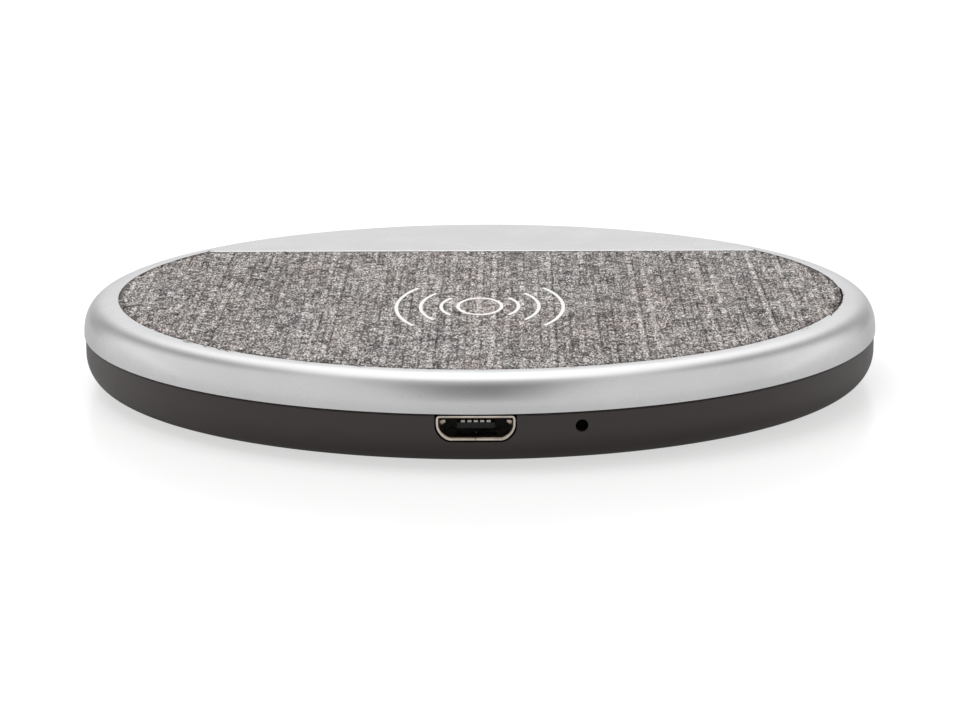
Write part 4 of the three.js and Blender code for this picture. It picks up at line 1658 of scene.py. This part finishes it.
@dataclass
class Studio:
    """Floor, soft lights and the camera."""

    paper: Finish
    distance: float = 0.36
    elevation: float = 11.97
    yaw: float = 0.6
    tilt: float = 0.70
    roll: float = -0.27
    lens: float = 117.75
    aim_height: float = 5.87 * MM
    backdrop: float = 1.0
    brightest: float = 1.4
    middle_dome: tuple[tuple[float, float], ...] = (
        (0, 0.7),
        (18, 0.78),
        (34, 1.3),
        (68, 1.32),
        (90, 0.42),
        (113, 0.18),
        (140, 0.22),
        (160, 0.34),
        (178, 0.66),
    )
    side_dome: tuple[tuple[float, float], ...] = (
        (0, 0.7),
        (22, 0.78),
        (34, 0.95),
        (52, 0.78),
        (88, 0.68),
        (110, 0.68),
        (178, 0.68),
    )
    gap_edge: tuple[float, float] = (0.12, 0.42)
    side_gap: tuple[float, float] = (0.28, 0.74)
    side_gap_back: tuple[float, float] = (0.05, 0.35)
    side_fade: float = 0.2
    side_dim: float = 0.55
    panel_place: tuple[float, float, float] = (-0.3, 0.25, 1.2)
    panel_size: tuple[float, float] = (0.9, 0.9)
    panel_brightness: float = 3.4
    floor_size: float = 6.0

    def build(self) -> None:
        """Lays the floor, hangs the lights and sets the camera."""
        self._floor()
        self._world()
        self._overhead()
        self._camera()

    def _floor(self) -> None:
        """A wide pale floor that isn't part of the pad."""
        bpy.ops.object.select_all(action="DESELECT")
        bpy.ops.mesh.primitive_plane_add(size=self.floor_size, location=(0, 0, 0))
        floor = take_name("studio_floor")
        floor.data.materials.append(self.paper.material())

    def _world(self) -> None:
        """A dome of soft light with a dark gap over the camera, and white past the floor."""
        world = bpy.data.worlds.new("studio")
        bpy.context.scene.world = world
        world.use_nodes = True
        sky = Graph(world.node_tree)
        x, y, z = sky.axes(sky.nodes.new("ShaderNodeTexCoord").outputs["Generated"])
        aside = sky.calc("ABSOLUTE", x)
        over = sky.calc("DIVIDE", sky.calc("ARCTAN2", sky.calc("MAXIMUM", z, 0.0), y), math.pi)
        background = sky.nodes["Background"]
        colour = sky.blend(
            sky.between(aside, *self.gap_edge),
            self._dome(sky, over, self.middle_dome),
            self._dome(sky, over, self.side_dome),
        )
        sky.links.new(colour, background.inputs["Color"])
        strength = sky.calc("MULTIPLY", self._side_light(sky, aside, y), self.brightest)
        sky.links.new(strength, background.inputs["Strength"])
        self._backdrop(sky, background)

    def _dome(self, sky: Graph, over: Socket, stops: Sequence[tuple[float, float]]) -> Socket:
        """Brightness against the angle up from the back and over to the front.

        Args:
            sky: the world's graph.
            over: the angle, 0 at the back and 1 at the front.
            stops: angles in degrees with their brightness.

        Returns:
            The brightness, as a share of the brightest.
        """
        levels = [(degrees / 180, (level / self.brightest,) * 3) for degrees, level in stops]
        return sky.ramp(over, levels, "EASE")

    def _side_light(self, sky: Graph, aside: Socket, back: Socket) -> Socket:
        """The dimmer stretches at the back left and right, as a factor on the whole."""
        first, last = self.side_gap
        in_gap = sky.calc(
            "MULTIPLY",
            sky.between(aside, first, first + self.side_fade),
            sky.between(aside, last, last - self.side_fade),
        )
        gap = sky.calc("MULTIPLY", in_gap, sky.between(back, *self.side_gap_back))
        return sky.calc("SUBTRACT", 1.0, sky.calc("MULTIPLY", gap, self.side_dim))

    def _backdrop(self, sky: Graph, background: bpy.types.Node) -> None:
        """Plain white past the floor, where the camera sees it."""
        white = sky.nodes.new("ShaderNodeBackground")
        white.inputs["Color"].default_value = (self.backdrop, self.backdrop, self.backdrop, 1)
        choose = sky.nodes.new("ShaderNodeMixShader")
        path = sky.nodes.new("ShaderNodeLightPath")
        sky.links.new(path.outputs["Is Camera Ray"], choose.inputs[0])
        sky.links.new(background.outputs[0], choose.inputs[1])
        sky.links.new(white.outputs[0], choose.inputs[2])
        sky.links.new(choose.outputs[0], sky.nodes["World Output"].inputs["Surface"])

    def _overhead(self) -> None:
        """A soft panel that faces the pad and stays out of its reflections."""
        light = bpy.data.lights.new("overhead", "AREA")
        light.shape = "RECTANGLE"
        light.size, light.size_y = self.panel_size
        light.energy = self.panel_brightness * math.pi * light.size * light.size_y
        panel = bpy.data.objects.new("overhead", light)
        bpy.context.scene.collection.objects.link(panel)
        panel.location = self.panel_place
        panel.rotation_euler = Vector(self.panel_place).to_track_quat("Z", "Y").to_euler()
        panel.visible_camera = False
        panel.visible_glossy = False

    def _camera(self) -> None:
        """Sets the camera in front of the socket, a little above the pad."""
        camera = bpy.data.objects.new("camera", bpy.data.cameras.new("camera"))
        bpy.context.scene.collection.objects.link(camera)
        down, turn = math.radians(self.elevation), math.radians(self.yaw)
        level = math.cos(down)
        reach = Vector((math.sin(turn) * level, -math.cos(turn) * level, math.sin(down)))
        camera.location = Vector((0, 0, self.aim_height)) + self.distance * reach
        camera.rotation_mode = "QUATERNION"
        pitch = math.pi / 2 - down - math.radians(self.tilt)
        camera.rotation_quaternion = (
            Quaternion((0, 0, 1), turn)
            @ Quaternion((1, 0, 0), pitch)
            @ Quaternion((0, 0, 1), math.radians(self.roll))
        )
        camera.data.lens = self.lens
        camera.data.sensor_width = 36.0
        camera.data.clip_start = 0.01
        bpy.context.scene.camera = camera
        bpy.context.scene.view_settings.view_transform = "Standard"


# ------------------------------------------------------------------ assembly


def main() -> None:
    logging.basicConfig(level=logging.INFO, format="%(name)s %(message)s")
    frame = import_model()

    silver = BlastedMetal("bead_blasted_aluminium")
    casing = MouldedPlastic("dark_casing_plastic", roughness=0.4, shine=0.62)
    steel = PlatedSteel("plated_steel", colour=(0.93, 0.83, 0.73))
    black = MouldedPlastic("black_block_plastic", colour=(0.005, 0.005, 0.0055), roughness=0.55)
    contact = PlatedSteel("contact_plating", colour=(0.97, 0.93, 0.86), roughness=0.42)
    mark = ChargingMark(centre=(0.1 * MM, -9.0 * MM))

    Studio(StudioPaper("pale_studio_paper")).build()
    Bezel(silver).build()
    socket = ChargingSocket(steel, black, contact)
    socket.measure()
    BaseShell(casing, socket).build()
    socket.build(frame)
    ClothCover(MelangeCloth("melange_cloth", mark=mark)).build()
    Feet(SoftRubber("foot_rubber")).build()
    StatusLight(
        ClearMoulding(
            "smoked_light_pipe", colour=(0.004, 0.004, 0.005), transmission=0.0, roughness=0.6, shine=0.02
        ),
        ClearMoulding("milky_lamp_body", colour=(0.8, 0.78, 0.68), transmission=0.2),
    ).build(frame)
    InnerWorks(
        plastic=MouldedPlastic("carrier_plastic", colour=(0.03, 0.03, 0.032)),
        tape=BondingTape("double_sided_tape"),
        steel=steel,
        copper=LitzWire("litz_copper"),
        ferrite=FiredCeramic("sintered_ferrite"),
        foam=SoftRubber("closed_cell_foam", colour=(0.04, 0.04, 0.043), pore=0.35 * MM),
        board=CoatedBoard("solder_mask"),
        chip=MouldedPlastic("chip_package", colour=(0.015, 0.015, 0.017), roughness=0.5),
        ceramic=FiredCeramic("chip_ceramic", colour=(0.3, 0.19, 0.1), roughness=0.4),
    ).build(frame)


if __name__ == "__main__":
    main()
